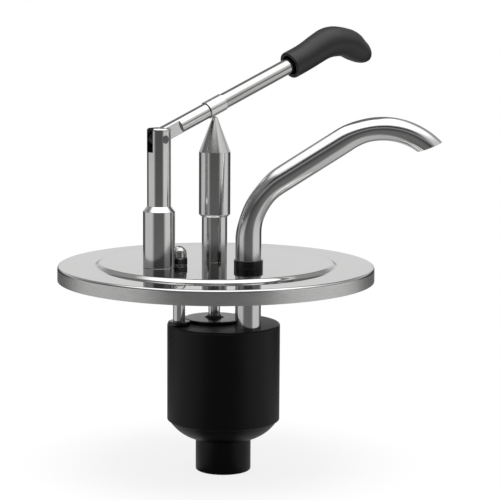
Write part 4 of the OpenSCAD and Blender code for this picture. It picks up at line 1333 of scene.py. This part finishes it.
@dataclass
class Spout:
    """The bent spout with its slanting mouth, and its collar on the lid.

    The tube is bent in its upright plane and comes out of each bend a little flattened.
    """

    diameter: float = 16.0
    wall: float = 1.0
    start: float = 20.2
    low_r: float = 44.6
    slope: float = 32.7
    run: float = 44.9
    high_r: float = 43.4
    mouth_turn: float = 41.5
    spare: float = 18.0
    mouth_slope: float = 22.2
    # Length before the mouth, in diameters, that is drawn out or held back
    cut_share: float = 1.6
    rows: tuple[int, int, int, int] = (12, 48, 16, 60)
    fine_rows: int = 400
    steps: int = 128
    rim_shares: tuple[float, float] = (0.18, 0.82)
    rim_back: float = 0.12
    rim_wear: float = 0.8
    flat_low: float = 7.15
    flat_high: float = 7.25
    # How fast the flattening sets in over each bend, and its share at the upper one's start
    onset_low: float = 1.5
    onset_high: float = 3.0
    before: float = 0.15
    collar_d: float = 18.0
    shank_d: float = 17.0
    collar_round: float = 0.3
    disc_top: float = 2.8

    def marks(self, low: float) -> tuple[float, float, float, float]:
        """Where the tube's parts begin.

        Args:
            low: Height of the lower end.

        Returns:
            Distances from the lower end of the first bend, the straight run, the second bend and
            the mouth.
        """
        first = self.start - low
        one = first + self.low_r * math.radians(90 - self.slope)
        two = one + self.run
        return first, one, two, two + self.high_r * math.radians(self.slope + self.mouth_turn)

    def axis(self, s: Array, low: float) -> tuple[Array, Array]:
        """Centre line and its slope at distances along the tube.

        Upright up to the first bend, then an arc of radius low_r down to the slope, a straight
        run, and an arc of radius high_r over the top.

        Args:
            s: Distances from the lower end.
            low: Height of the lower end.

        Returns:
            Points as x and z in the spout's plane, and the slope in radians.
        """
        first, one, two, _ = self.marks(low)
        slope = math.radians(self.slope)
        a = np.radians(90) - np.clip((s - first) / self.low_r, 0, math.radians(90) - slope)
        a = a - np.clip((s - two) / self.high_r, 0, None)
        upper = np.clip(a, slope, None)
        x = self.low_r * (1 - np.sin(upper))
        z = np.where(s < first, low + s, self.start + self.low_r * np.cos(upper))
        run = np.clip(s - one, 0, self.run)
        x = x + run * math.cos(slope)
        z = z + run * math.sin(slope)
        bent = np.clip(a, None, slope)
        x = x + self.high_r * (math.sin(slope) - np.sin(bent))
        z = z + self.high_r * (np.cos(bent) - math.cos(slope))
        return np.stack([x, z], axis=-1), a

    def half(self, s: Array, low: float) -> Array:
        """Half thickness of the tube in its plane, flattened softly in both bends.

        Args:
            s: Distances from the lower end.
            low: Height of the lower end.

        Returns:
            The half thickness at each distance.
        """
        first, one, two, full = self.marks(low)
        r = self.diameter / 2
        hump = np.clip(1 - np.abs((s - (first + one) / 2) / ((one - first) / 2)), 0, 1)
        crown = (s - two) / (full - two)
        return (r - (r - self.flat_low) * smooth(hump * self.onset_low)
                - (r - self.flat_high) * smooth(crown * self.onset_high + self.before))

    def flat(self, s: Array, low: float, inset: float, t: Array) -> Array:
        """A wall of the tube seen square to the spout's plane.

        A point is the centre + (half thickness - inset) * cos t square to the centre line.

        Args:
            s: Distances from the lower end, by row and line.
            low: Height of the lower end.
            inset: How far the wall lies under the tube's outside.
            t: Angle of each line round the tube.

        Returns:
            The wall's points, as x and z.
        """
        centre, slope = self.axis(s, low)
        up = np.stack([-np.sin(slope), np.cos(slope)], axis=-1)
        return centre + ((self.half(s, low) - inset) * np.cos(t))[..., None] * up

    def surface(self, low: float) -> Surface:
        """The tube's outer and inner wall in one skin.

        The point at distance s and angle t stands over its flat place, (radius - inset) * sin t
        sideways. Each line along the tube is drawn out or held back so that it ends on the
        mouth's slanting plane.

        Args:
            low: Height of the lower end.

        Returns:
            The surface, with the lower end on the origin's axis.
        """
        first, one, two, full = self.marks(low)
        r = self.diameter / 2
        parts = zip((0, first, one, two), (first, one, two, full), self.rows)
        rows = np.concatenate([[0.0]] + [np.linspace(*part)[1:] for part in parts])
        hold = full - self.diameter * self.cut_share
        mouth, _ = self.axis(np.array([full]), low)
        tilt = math.radians(self.mouth_slope)
        plane = np.array([-math.sin(tilt), math.cos(tilt)])
        t = around(self.steps)
        fine = np.linspace(hold, full + self.high_r * math.radians(self.spare),
                           self.fine_rows)
        skins, grains = [], []
        line = np.arange(self.steps)
        for inset in (0.0, self.wall):
            side = (self.flat(fine[:, None], low, inset, t) - mouth[0]) @ plane
            # Place where each line crosses the plane of the cut, from above it to below it
            past = np.argmax(side < 0, axis=0)
            before, after = side[past - 1, line], side[past, line]
            ends = fine[past - 1] + (fine[1] - fine[0]) * before / (before - after)
            s = np.where(rows[:, None] <= hold, rows[:, None],
                         hold + (rows[:, None] - hold) * (ends - hold) / (full - hold))
            flat = self.flat(s, low, inset, t)
            y = np.broadcast_to((r - inset) * np.sin(t), s.shape)
            skins.append(np.stack([flat[..., 0], y, flat[..., 1]], axis=-1))
            grains.append(np.stack([s * ALONG, np.broadcast_to(r * np.cos(t), s.shape),
                                    np.broadcast_to(r * np.sin(t), s.shape)], axis=-1))
        outer, inner = skins
        # Softened rim: two rows between the walls, and one on each wall pulled back from it
        rim = [outer[-1] * (1 - w) + inner[-1] * w for w in self.rim_shares]
        back = [wall[-1] * (1 - self.rim_back) + wall[-2] * self.rim_back
                for wall in (outer, inner)]
        points = np.concatenate([outer[:-1], [back[0], *rim, back[1]], inner[-2::-1]])
        grain = np.concatenate([grains[0], [grains[0][-1]] * 2, grains[1][::-1]])
        wear = np.zeros(len(points))
        wear[len(outer) - 1:len(outer) + 3] = self.rim_wear
        return woven(points, grain, wear, True, False, False)

    def build(self, dresser: Dresser) -> None:
        """Make the spout and its collar, and dress the seal.

        Args:
            dresser: Makes the pieces and gives them their finish.
        """
        low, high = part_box("spout_tube")
        x, y = low.x / MM + self.diameter / 2, (low.y + high.y) / 2 / MM
        dresser.piece("spout_bent", self.surface(low.z / MM).placed(
            Matrix.Translation((x, y, 0))), Finish.TUBE, Body.BASE, "spout_tube")
        s = Station.of("spout_collar")
        bore, outer = self.diameter / 2 + PLAY, self.collar_d / 2
        hole = self.shank_d / 2
        collar = s.turned([
            [bore, 1.0], [bore, s.low, 0.1], [hole, s.low, 0.1], [hole, self.disc_top],
            [outer, self.disc_top, 0.15], [outer, s.high, self.collar_round],
            [bore, s.high, 0.2], [bore, 1.01]], 160, loop=True)
        dresser.piece("collar_of_spout", collar, Finish.GLOSS_BLACK, Body.BASE, "spout_collar")
        dresser.dress(Finish.RUBBER, "spout_seal")


@dataclass
class TieRod:
    """The rod that holds the pump body, its cap nut on the lid and its bush below."""

    rod_d: float = 7.6
    thread_d: float = 6.0
    nut_af: float = 9.8
    nut_hex: float = 5.0
    nut_h: float = 12.0
    nut_chamfer: float = 0.08
    nut_clear: float = 9.0
    nut_steps: int = 144
    # Painted shade on the hexagon's rows, below zero, and rubbed brightness on two chamfer rows
    nut_painted_shade: float = -0.8
    nut_rub: float = 0.3
    dome_d: float = 9.5
    azimuth: float = 66.5
    bush_d: float = 13.7
    bush_h: float = 2.4
    bush_round: float = 0.6
    bush_floor: float = 0.2
    shank_d: float = 10.0
    disc_under: float = 2.0

    def nut(self, low: float) -> Surface:
        """The cap nut.

        In its hexagon the radius at angle t is the smaller of half the width across flats
        divided by cos(t), with t taken from the nearest flat's middle, and of the turned
        corners' radius. Above stands a cylinder with a round top.

        Args:
            low: Height of its lower face.

        Returns:
            The surface, round the origin's axis.
        """
        face, chamfer = self.nut_af / 2, self.nut_af * self.nut_chamfer
        dome, clear = self.dome_d / 2, face + self.nut_clear
        z_hex = np.array([0, 0, chamfer * 0.35, chamfer, chamfer + 0.2, self.nut_hex / 2,
                          self.nut_hex - chamfer - 0.2, self.nut_hex - chamfer,
                          self.nut_hex - chamfer * 0.35, self.nut_hex])
        wide = np.array([0, face, face + 0.7 * chamfer, face + 2 * chamfer, clear, clear,
                         clear, face + 2 * chamfer, face + 0.7 * chamfer, face])
        a = np.linspace(0, np.pi / 2, 18)
        z_dome = np.concatenate([[self.nut_hex + 0.05, self.nut_hex + 0.6],
                                 self.nut_h - dome + dome * np.sin(a)])
        r_dome = np.concatenate([[dome + 0.05, dome], dome * np.cos(a)])
        r_dome[-1] = 0
        t = around(self.nut_steps)
        flat = face / np.cos((t + np.pi / 6) % (np.pi / 3) - np.pi / 6)
        r = np.concatenate([np.minimum(wide[:, None], flat),
                            np.repeat(r_dome[:, None], self.nut_steps, axis=1)])
        z = np.concatenate([z_hex, z_dome]) + low
        grain = np.stack([r + z[:, None], r * ALONG, r * ALONG], axis=-1)
        wear = np.zeros(len(z))
        # The hexagon's rows are painted dark as shade
        wear[1:len(z_hex) + 1] = self.nut_painted_shade
        wear[[3, 7]] = self.nut_rub
        return woven(rings(r, z), grain, wear, False, True, True)

    def build(self, dresser: Dresser) -> None:
        """Make the nut, the rod and the bush.

        Args:
            dresser: Makes the pieces and gives them their finish.
        """
        s = Station.of("tie_rod_bush")
        turn = s.matrix() @ Matrix.Rotation(math.radians(self.azimuth), 4, "Z")
        nut = Station.of("acorn_nut")
        bore = s.cylinder(self.thread_d + 2 * PLAY, nut.low - OVER,
                          nut.high - self.dome_d / 2)
        dresser.piece("cap_nut_domed", self.nut(nut.low).placed(turn), Finish.NUT, Body.BASE,
                      "acorn_nut", [bore], angle=24.0)
        bar = Station.of("tie_rod")
        r, thin = self.rod_d / 2, self.thread_d / 2
        shaft = s.turned([[0, bar.low], [thin, bar.low, EDGE], [thin, s.high],
                          [r, s.high, 0.15], [r, self.disc_under, 0.15],
                          [thin, self.disc_under], [thin, bar.high, EDGE], [0, bar.high]])
        dresser.piece("rod_of_tie", shaft, Finish.TUBE, Body.BASE, "tie_rod")
        flange = s.high - self.bush_h
        outer, shank = self.bush_d / 2, self.shank_d / 2
        bush = s.turned([
            [0, s.low], [shank, s.low, EDGE], [shank, flange], [outer, flange],
            [outer, s.high, self.bush_round], [0, s.high]], arcs=8)
        hole = s.cylinder(self.thread_d + 2 * PLAY, bar.low - self.bush_floor, s.high + OVER)
        dresser.piece("bush_of_tie", bush, Finish.GLOSS_BLACK, Body.BASE, "tie_rod_bush",
                      [hole])


@dataclass
class PumpBody:
    """The black block with its chamber, cylinder cap, bottom cap and foot."""

    diameter: float = 70.8
    edge: float = 1.2
    recess_d: float = 58.0
    recess_h: float = 8.0
    chamber_d: float = 32.0
    port_d: float = 12.0
    thread_d: float = 34.7
    tube_d: float = 16.1
    shank_d: float = 10.1
    plate_d: float = 37.0
    plate_h: float = 2.0
    plate_edge: float = 0.5
    spanner: float = 22.0
    spanner_d: float = 2.0
    spanner_l: float = 3.0
    wiper_d: float = 12.0
    wiper_seat: float = 4.0
    lip_h: float = 2.0
    lip_t: float = 0.6
    rod_bore: float = 7.5
    bottom_step: float = 1.0
    bottom_arc: float = 26.6
    foot_d: float = 34.8
    foot_edge: float = 0.8
    foot_thread: float = 28.0
    plug_h: float = 5.0
    inlet_d: float = 12.0
    inlet_l: float = 12.0
    throat_d: float = 7.92
    ball_bore: float = 15.36
    ball_d: float = 12.0
    seat_share: float = 0.34
    stroke: float = 24.7
    spare: float = 2.3
    seal_t: float = 1.4
    passage: float = 4.0
    riser_r: float = 3.3
    outlet_r: float = 6.4

    def block_piece(self, dresser: Dresser, axis: Station, plunger: Station) -> None:
        """The turned block with its chamber, the spout's riser and the tie rod's seat.

        Args:
            dresser: Makes the pieces and gives them their finish.
            axis: The block's station.
            plunger: The cylinder cap's station.
        """
        r, low, top = self.diameter / 2, axis.low, axis.high
        body = axis.turned([
            [0, low + self.recess_h], [self.recess_d / 2, low + self.recess_h],
            [self.recess_d / 2, low, EDGE], [r, low, 0.4], [r, top, self.edge], [0, top]],
            256, 8)
        floor = Station.of("piston").low - self.stroke - self.spare
        ceiling = plunger.low - self.seal_t
        start = low + self.passage
        chamber = plunger.turned([
            [0, start], [self.port_d / 2, start], [self.port_d / 2, floor],
            [self.chamber_d / 2, floor], [self.chamber_d / 2, ceiling],
            [self.thread_d / 2, ceiling], [self.thread_d / 2, top + OVER], [0, top + OVER]], 160)
        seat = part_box("outlet_cage")[0].z / MM
        deck = low + self.recess_h
        riser = Station.of("spout_collar").turned([
            [0, start], [self.riser_r, start], [self.riser_r, deck + self.riser_r],
            [self.outlet_r, deck + self.outlet_r], [self.outlet_r, seat],
            [self.tube_d / 2, seat], [self.tube_d / 2, top + OVER], [0, top + OVER]])
        tie = Station.of("tie_rod_bush")
        dresser.piece("pump_block", body, Finish.BLACK, Body.BASE, "pump_body",
                      [chamber, riser, tie.cylinder(self.shank_d, tie.low, top + OVER)])

    def cap_piece(self, dresser: Dresser, cap: Station) -> None:
        """The cylinder cap with its two spanner holes, and the rod's wiper.

        Args:
            dresser: Makes the pieces and gives them their finish.
            cap: The cap's station.
        """
        top, under = cap.high, cap.high - self.plate_h
        thread, rod_r, seat = self.thread_d / 2 - PLAY, self.rod_bore / 2, self.wiper_d / 2 + PLAY
        seat_low = top - self.wiper_seat
        plate = cap.turned([
            [rod_r, cap.low + 2], [rod_r, cap.low, 0.2], [thread, cap.low, EDGE],
            [thread, under], [self.plate_d / 2, under, 0.12],
            [self.plate_d / 2, top, self.plate_edge], [seat, top, 0.25], [seat, seat_low],
            [rod_r, seat_low], [rod_r, cap.low + 2.01]], 192, loop=True)
        holes = [rod(self.spanner_d, top - self.spanner_l, top + OVER).placed(
            cap.matrix() @ Matrix.Translation((0, side * self.spanner / 2, 0)))
            for side in (-1, 1)]
        dresser.piece("cap_of_cylinder", plate, Finish.PLATE, Body.BASE, "cylinder_cap", holes)
        w = Station.of("rod_wiper")
        outer, shoulder = self.wiper_d / 2, w.high - self.lip_h
        mid = (outer + rod_r) / 2
        wiper = cap.turned([
            [rod_r, w.low + 1], [rod_r, w.low, 0.15], [outer, w.low, 0.2],
            [outer, shoulder, EDGE], [mid, shoulder, EDGE], [rod_r + self.lip_t, w.high, 0.25],
            [rod_r, w.high, 0.1], [rod_r, w.low + 1.01]], loop=True)
        dresser.piece("wiper_of_rod", wiper, Finish.RUBBER, Body.BASE, "rod_wiper")

    def bowl(self, axis: Station, low: float, cage_top: float) -> Surface:
        """The bottom cap, whose side is one arc of a circle through its two edges.

        The circle's middle lies on the line that halves the chord between the edges, at the
        root of the radius squared less half the chord squared from it.

        Args:
            axis: Station of the block.
            low: Height of its lower end.
            cage_top: Height of the inlet cage's top.

        Returns:
            The surface.
        """
        far = np.array([self.diameter / 2 - self.bottom_step, axis.low])
        near = np.array([self.foot_d / 2, low])
        half = np.linalg.norm(far - near) / 2
        normal = np.array([near[1] - far[1], far[0] - near[0]]) / (2 * half)
        centre = (far + near) / 2 + math.sqrt(self.bottom_arc ** 2 - half ** 2) * normal
        start, end = (math.atan2(*(edge - centre)[::-1]) for edge in (near, far))
        a = np.linspace(start, end, 40)
        side = centre + self.bottom_arc * np.stack([np.cos(a), np.sin(a)], axis=-1)
        thread, plug = self.foot_thread / 2 + PLAY, self.recess_d / 2 - PLAY
        ball = self.ball_bore / 2
        inner = np.array([[thread, cage_top], [thread, low]])
        upper = np.array([[plug, axis.low], [plug, axis.low + self.plug_h],
                          [ball, axis.low + self.plug_h], [ball, cage_top]])
        points = np.concatenate([inner, side, upper])
        wear = np.zeros(len(points))
        wear[2:4], wear[len(side):len(side) + 2] = 0.5, 0.5
        return turned(Outline(points, wear), 256, loop=True).placed(axis.matrix())

    def bottom_pieces(self, dresser: Dresser, axis: Station) -> None:
        """The bowl-shaped bottom cap and the foot with the inlet.

        Args:
            dresser: Makes the pieces and gives them their finish.
            axis: The block's station.
        """
        low, foot = Station.of("bottom_cap").low, Station.of("inlet_foot")
        cage_low, cage_top = (corner.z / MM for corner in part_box("inlet_cage"))
        dresser.piece("bowl_of_bottom", self.bowl(axis, low, cage_top), Finish.BLACK,
                      Body.BASE, "bottom_cap", angle=40.0)
        bore, throat, thread = self.inlet_d / 2, self.throat_d / 2, self.foot_thread / 2
        f, ball, inlet = self.foot_d / 2, self.ball_bore / 2, foot.low + self.inlet_l
        seat = inlet + self.ball_d / 2 * self.seat_share
        surface = axis.turned([
            [throat, inlet + 0.5], [throat, inlet], [bore, inlet], [bore, foot.low, 0.4],
            [f, foot.low, self.foot_edge], [f, low], [thread, low], [thread, cage_low],
            [ball, cage_low], [ball, seat + ball - throat], [throat, seat],
            [throat, inlet + 0.51]], 192, loop=True)
        dresser.piece("foot_of_inlet", surface, Finish.BLACK, Body.BASE, "inlet_foot")

    def build(self, dresser: Dresser) -> None:
        """Make the body's pieces and dress the seals and valves.

        Args:
            dresser: Makes the pieces and gives them their finish.
        """
        axis, cap = Station.of("pump_body"), Station.of("cylinder_cap")
        self.block_piece(dresser, axis, cap)
        self.cap_piece(dresser, cap)
        self.bottom_pieces(dresser, axis)
        dresser.dress(Finish.RUBBER, "cap_seal", "bottom_seal", "foot_seal")
        dresser.dress(Finish.PLAIN, "inlet_cage", "outlet_cage")
        dresser.dress(Finish.POLISHED, "inlet_ball", "outlet_ball")


# Studio


@dataclass
class Surround:
    """A dome of flags and reflectors round the object that only gloss sees.

    Its tone is a function of azimuth and elevation alone. Each profile lists elevations in
    degrees and tones, and the profiles pass softly into each other round the object.
    """

    radius: float = 0.75
    centre: float = 0.06
    floor: float = -0.128
    brightest: float = 2.0
    rows: int = 33
    columns: int = 73
    floor_rings: tuple[float, float] = (0.001, 0.3)
    # Half width in metres over which the left side's tones pass into the right side's
    sides_blend: float = 0.02
    front: tuple[tuple[float, float], ...] = (
        (-70, 0.12), (-35, 0.2), (-14, 0.19), (-6, 0.13), (6, 0.07), (10, 0.1), (14, 0.34),
        (20, 0.34), (25, 0.05), (34, 0.03), (39, 0.4), (47, 2.0))
    right: tuple[tuple[float, float], ...] = (
        (-70, 0.6), (-30, 0.7), (-6, 0.88), (2, 0.6), (6, 0.08), (11, 0.08), (17, 0.7),
        (36, 0.9), (46, 2.0))
    left: tuple[tuple[float, float], ...] = (
        (-70, 0.6), (-30, 0.65), (-6, 0.74), (2, 0.55), (8, 0.12), (22, 0.16), (42, 0.3),
        (54, 2.0))
    edge: tuple[tuple[float, float], ...] = (
        (-60, 0.5), (-14, 0.05), (0, 0.05), (4, 0.45), (12, 0.7), (22, 0.4), (44, 0.4),
        (58, 2.0))
    back: tuple[tuple[float, float], ...] = (
        (-60, 0.9), (-20, 0.4), (-4, 0.5), (3, 1.0), (14, 1.0), (19, 0.25), (66, 0.2),
        (75, 2.0))
    turns: tuple[tuple[float, float], ...] = ((32, 48), (104, 122), (150, 160))

    def material(self) -> bpy.types.Material:
        """The dome's tones: each profile over the elevation, mixed over the azimuth.

        Returns:
            The material.
        """
        made = bpy.data.materials.new("studio_surround")
        g = Graph(made)
        spot = g.place(centre=(0, 0, self.centre))
        parts = g.node("ShaderNodeSeparateXYZ", inputs={0: spot})
        x, y, z = (Signal(g, parts.outputs[k]) for k in range(3))
        azimuth = g.add("ShaderNodeMath", {"operation": "ARCTAN2"}, {0: x, 1: y * -1.0})
        azimuth = g.add("ShaderNodeMath", {"operation": "ABSOLUTE"}, {0: azimuth})
        azimuth = azimuth * math.degrees(1)
        elevation = g.add("ShaderNodeMath", {"operation": "ARCTAN2"}, {0: z, 1: g.across(spot)})
        share = (elevation * math.degrees(1)).between(-90, 90)
        front, right, left, edge, back = (
            self.profile(g, share, stops)
            for stops in (self.front, self.right, self.left, self.edge, self.back))
        side = left + (right - left) * x.between(-self.sides_blend, self.sides_blend)
        tone = front
        for following, (start, end) in zip((side, edge, back), self.turns):
            tone = tone + (following - tone) * azimuth.between(start, end)
        g.surface(g.add("ShaderNodeEmission", inputs={"Color": (1, 1, 1, 1),
                                                      "Strength": tone * self.brightest}))
        return made

    def profile(self, g: Graph, share: Signal,
                stops: Sequence[tuple[float, float]]) -> Signal:
        """One profile of tones over the elevation.

        Args:
            g: The material's nodes.
            share: Elevation as a share of the way from straight down to straight up.
            stops: Elevations in degrees, and tones.

        Returns:
            The tone, as a share of the brightest.
        """
        levels = [((e + 90) / 180, (t / self.brightest,) * 3) for e, t in stops]
        return g.add("ShaderNodeValToRGB", {"stops": levels}, {0: share})

    def points(self) -> Array:
        """The dome over the floor and the floor below it.

        The dome's rows stand at radius times the cosine of the elevation from the axis, and at
        radius times its sine over the centre.

        Returns:
            The points, as rows from the middle out and up.
        """
        low = math.asin((self.floor - self.centre) / self.radius)
        e = np.linspace(low, np.pi / 2, self.rows)
        r = np.concatenate([self.floor_rings, self.radius * np.cos(e)])
        z = np.concatenate([[self.floor] * 2, self.centre + self.radius * np.sin(e)])
        a = np.linspace(0, 2 * np.pi, self.columns)
        return np.stack([r[:, None] * np.sin(a), -r[:, None] * np.cos(a),
                         np.repeat(z[:, None], self.columns, axis=1)], axis=-1)


@dataclass
class Studio:
    """Floor, surround, lamp, world and camera."""

    floor: float = -0.1287
    floor_half: float = 6.0
    floor_colour: Colour = (0.86, 0.86, 0.86)
    # Distances in metres between which the shadow fades, and the share of it that stays
    shadow_reach: tuple[float, float] = (0.34, 0.05)
    shadow_share: float = 0.16
    surround: Surround = field(default_factory=Surround)
    softbox: float = 0.95
    softbox_at: tuple[float, float, float] = (0.0, -0.12, 1.3)
    softbox_power: float = 22.0
    world_level: float = 0.55
    lens: float = 136.8
    sensor: float = 36.0
    pitch: float = 8.28
    roll: float = 0.35
    focal: float = 1900.0
    picture: float = 250.0
    disc_at: tuple[float, float] = (216.15, 261.2)
    scale: float = 100.0 / 159.0
    disc_top: float = 2.8

    def sheet(self, name: str, points: Array, material: bpy.types.Material,
              glossy_only: bool = True) -> bpy.types.Object:
        """A stage surface from a grid of points in metres.

        Args:
            name: Name of the object and its mesh.
            points: The points, by row and column.
            material: Its material.
            glossy_only: Only gloss sees it.

        Returns:
            The object.
        """
        rows, cols = points.shape[:2]
        number = np.arange(rows * cols).reshape(rows, cols)
        quads = np.stack([number[:-1, :-1], number[:-1, 1:], number[1:, 1:], number[1:, :-1]],
                         axis=-1).reshape(-1, 4)
        mesh = bpy.data.meshes.new(name)
        mesh.from_pydata(points.reshape(-1, 3).tolist(), [], quads.tolist())
        mesh.materials.append(material)
        made = bpy.data.objects.new(name, mesh)
        bpy.context.scene.collection.objects.link(made)
        if glossy_only:
            made.visible_camera = False
            made.visible_diffuse = False
            made.visible_shadow = False
            made.visible_transmission = False
        return made

    def hang_surround(self) -> None:
        """Hang the dome round the object."""
        self.sheet("studio_surround", self.surround.points(), self.surround.material())

    def lay_floor(self) -> None:
        """A pale floor that keeps the object's shadow and fades to white round it."""
        made = bpy.data.materials.new("studio_floor")
        g = Graph(made)
        near = g.across(g.place()).between(*self.shadow_reach, 0.0, self.shadow_share)
        white = g.add("ShaderNodeEmission", inputs={"Color": (1, 1, 1, 1), "Strength": 1.0})
        matt = g.add("ShaderNodeBsdfDiffuse", inputs={"Color": (*self.floor_colour, 1)})
        shown = g.add("ShaderNodeMixShader", inputs={0: g.seen() * (1 - near), 1: matt,
                                                     2: white})
        below = g.add("ShaderNodeNewGeometry", output="Backfacing")
        clear = g.add("ShaderNodeBsdfTransparent")
        g.surface(g.add("ShaderNodeMixShader", inputs={0: below, 1: shown, 2: clear}))
        span = np.linspace(-self.floor_half, self.floor_half, 3)
        x, y = np.meshgrid(span, span)
        points = np.stack([x, y, np.full_like(x, self.floor)], axis=-1)
        self.sheet("studio_floor", points, made, glossy_only=False)

    def light(self) -> None:
        """An overhead softbox and an even world."""
        lamp = bpy.data.lights.new("softbox", "AREA")
        lamp.shape = "SQUARE"
        lamp.size = self.softbox
        lamp.energy = self.softbox_power
        made = bpy.data.objects.new("softbox", lamp)
        made.location = self.softbox_at
        made.visible_glossy = False
        bpy.context.scene.collection.objects.link(made)
        world = bpy.data.worlds.new("studio")
        bpy.context.scene.world = world
        g = Graph(world)
        strength = g.seen() * (1 - self.world_level) + self.world_level
        g.surface(g.add("ShaderNodeBackground", inputs={"Color": (1, 1, 1, 1),
                                                        "Strength": strength}))

    def camera(self) -> None:
        """Stand the camera where the photograph was taken from.

        The disc's middle lies depth metres before the camera, at its measured place in the
        picture, and the picture is turned by a small roll.
        """
        pitch, roll = math.radians(self.pitch), math.radians(self.roll)
        fwd = Vector((0, math.cos(pitch), -math.sin(pitch)))
        up = Vector((0, math.sin(pitch), math.cos(pitch)))
        side = Vector((1, 0, 0))
        right = side * math.cos(roll) + up * math.sin(roll)
        up = up * math.cos(roll) - side * math.sin(roll)
        depth = self.focal * self.scale
        u = (self.disc_at[0] - self.picture) / self.focal
        v = (self.picture - self.disc_at[1]) / self.focal
        spot = -depth * (fwd + u * right + v * up) + Vector((0, 0, self.disc_top))
        data = bpy.data.cameras.new("camera")
        data.sensor_width = self.sensor
        data.lens = self.lens
        data.clip_start, data.clip_end = 0.05, 50.0
        made = bpy.data.objects.new("camera", data)
        turn = Matrix((right, up, -fwd)).transposed()
        made.matrix_world = Matrix.Translation(spot * MM) @ turn.to_4x4()
        bpy.context.scene.collection.objects.link(made)
        bpy.context.scene.camera = made

    def build(self) -> None:
        """Set up the studio."""
        self.lay_floor()
        self.hang_surround()
        self.light()
        self.camera()
        bpy.context.scene.view_settings.view_transform = "Standard"


@dataclass
class SyrupPump:
    """The whole pump, sub-assembly by sub-assembly."""

    lid: Lid = field(default_factory=Lid)
    post: FulcrumPost = field(default_factory=FulcrumPost)
    guide: Guide = field(default_factory=Guide)
    plunger: Plunger = field(default_factory=Plunger)
    lever: Lever = field(default_factory=Lever)
    spout: Spout = field(default_factory=Spout)
    tie: TieRod = field(default_factory=TieRod)
    body: PumpBody = field(default_factory=PumpBody)

    def build(self, dresser: Dresser) -> None:
        """Build every sub-assembly in order.

        Args:
            dresser: Makes the pieces and gives them their finish.
        """
        for part in (self.lid, self.post, self.guide, self.plunger, self.lever, self.spout,
                     self.tie, self.body):
            LOG.info("sub-assembly %s", type(part).__name__)
            part.build(dresser)


def main() -> None:
    """Build the pump and its studio."""
    logging.basicConfig(level=logging.INFO, format="%(message)s")
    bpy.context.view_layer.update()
    SyrupPump().build(Dresser())
    Studio().build()
    bpy.context.view_layer.update()


if __name__ == "__main__":
    main()
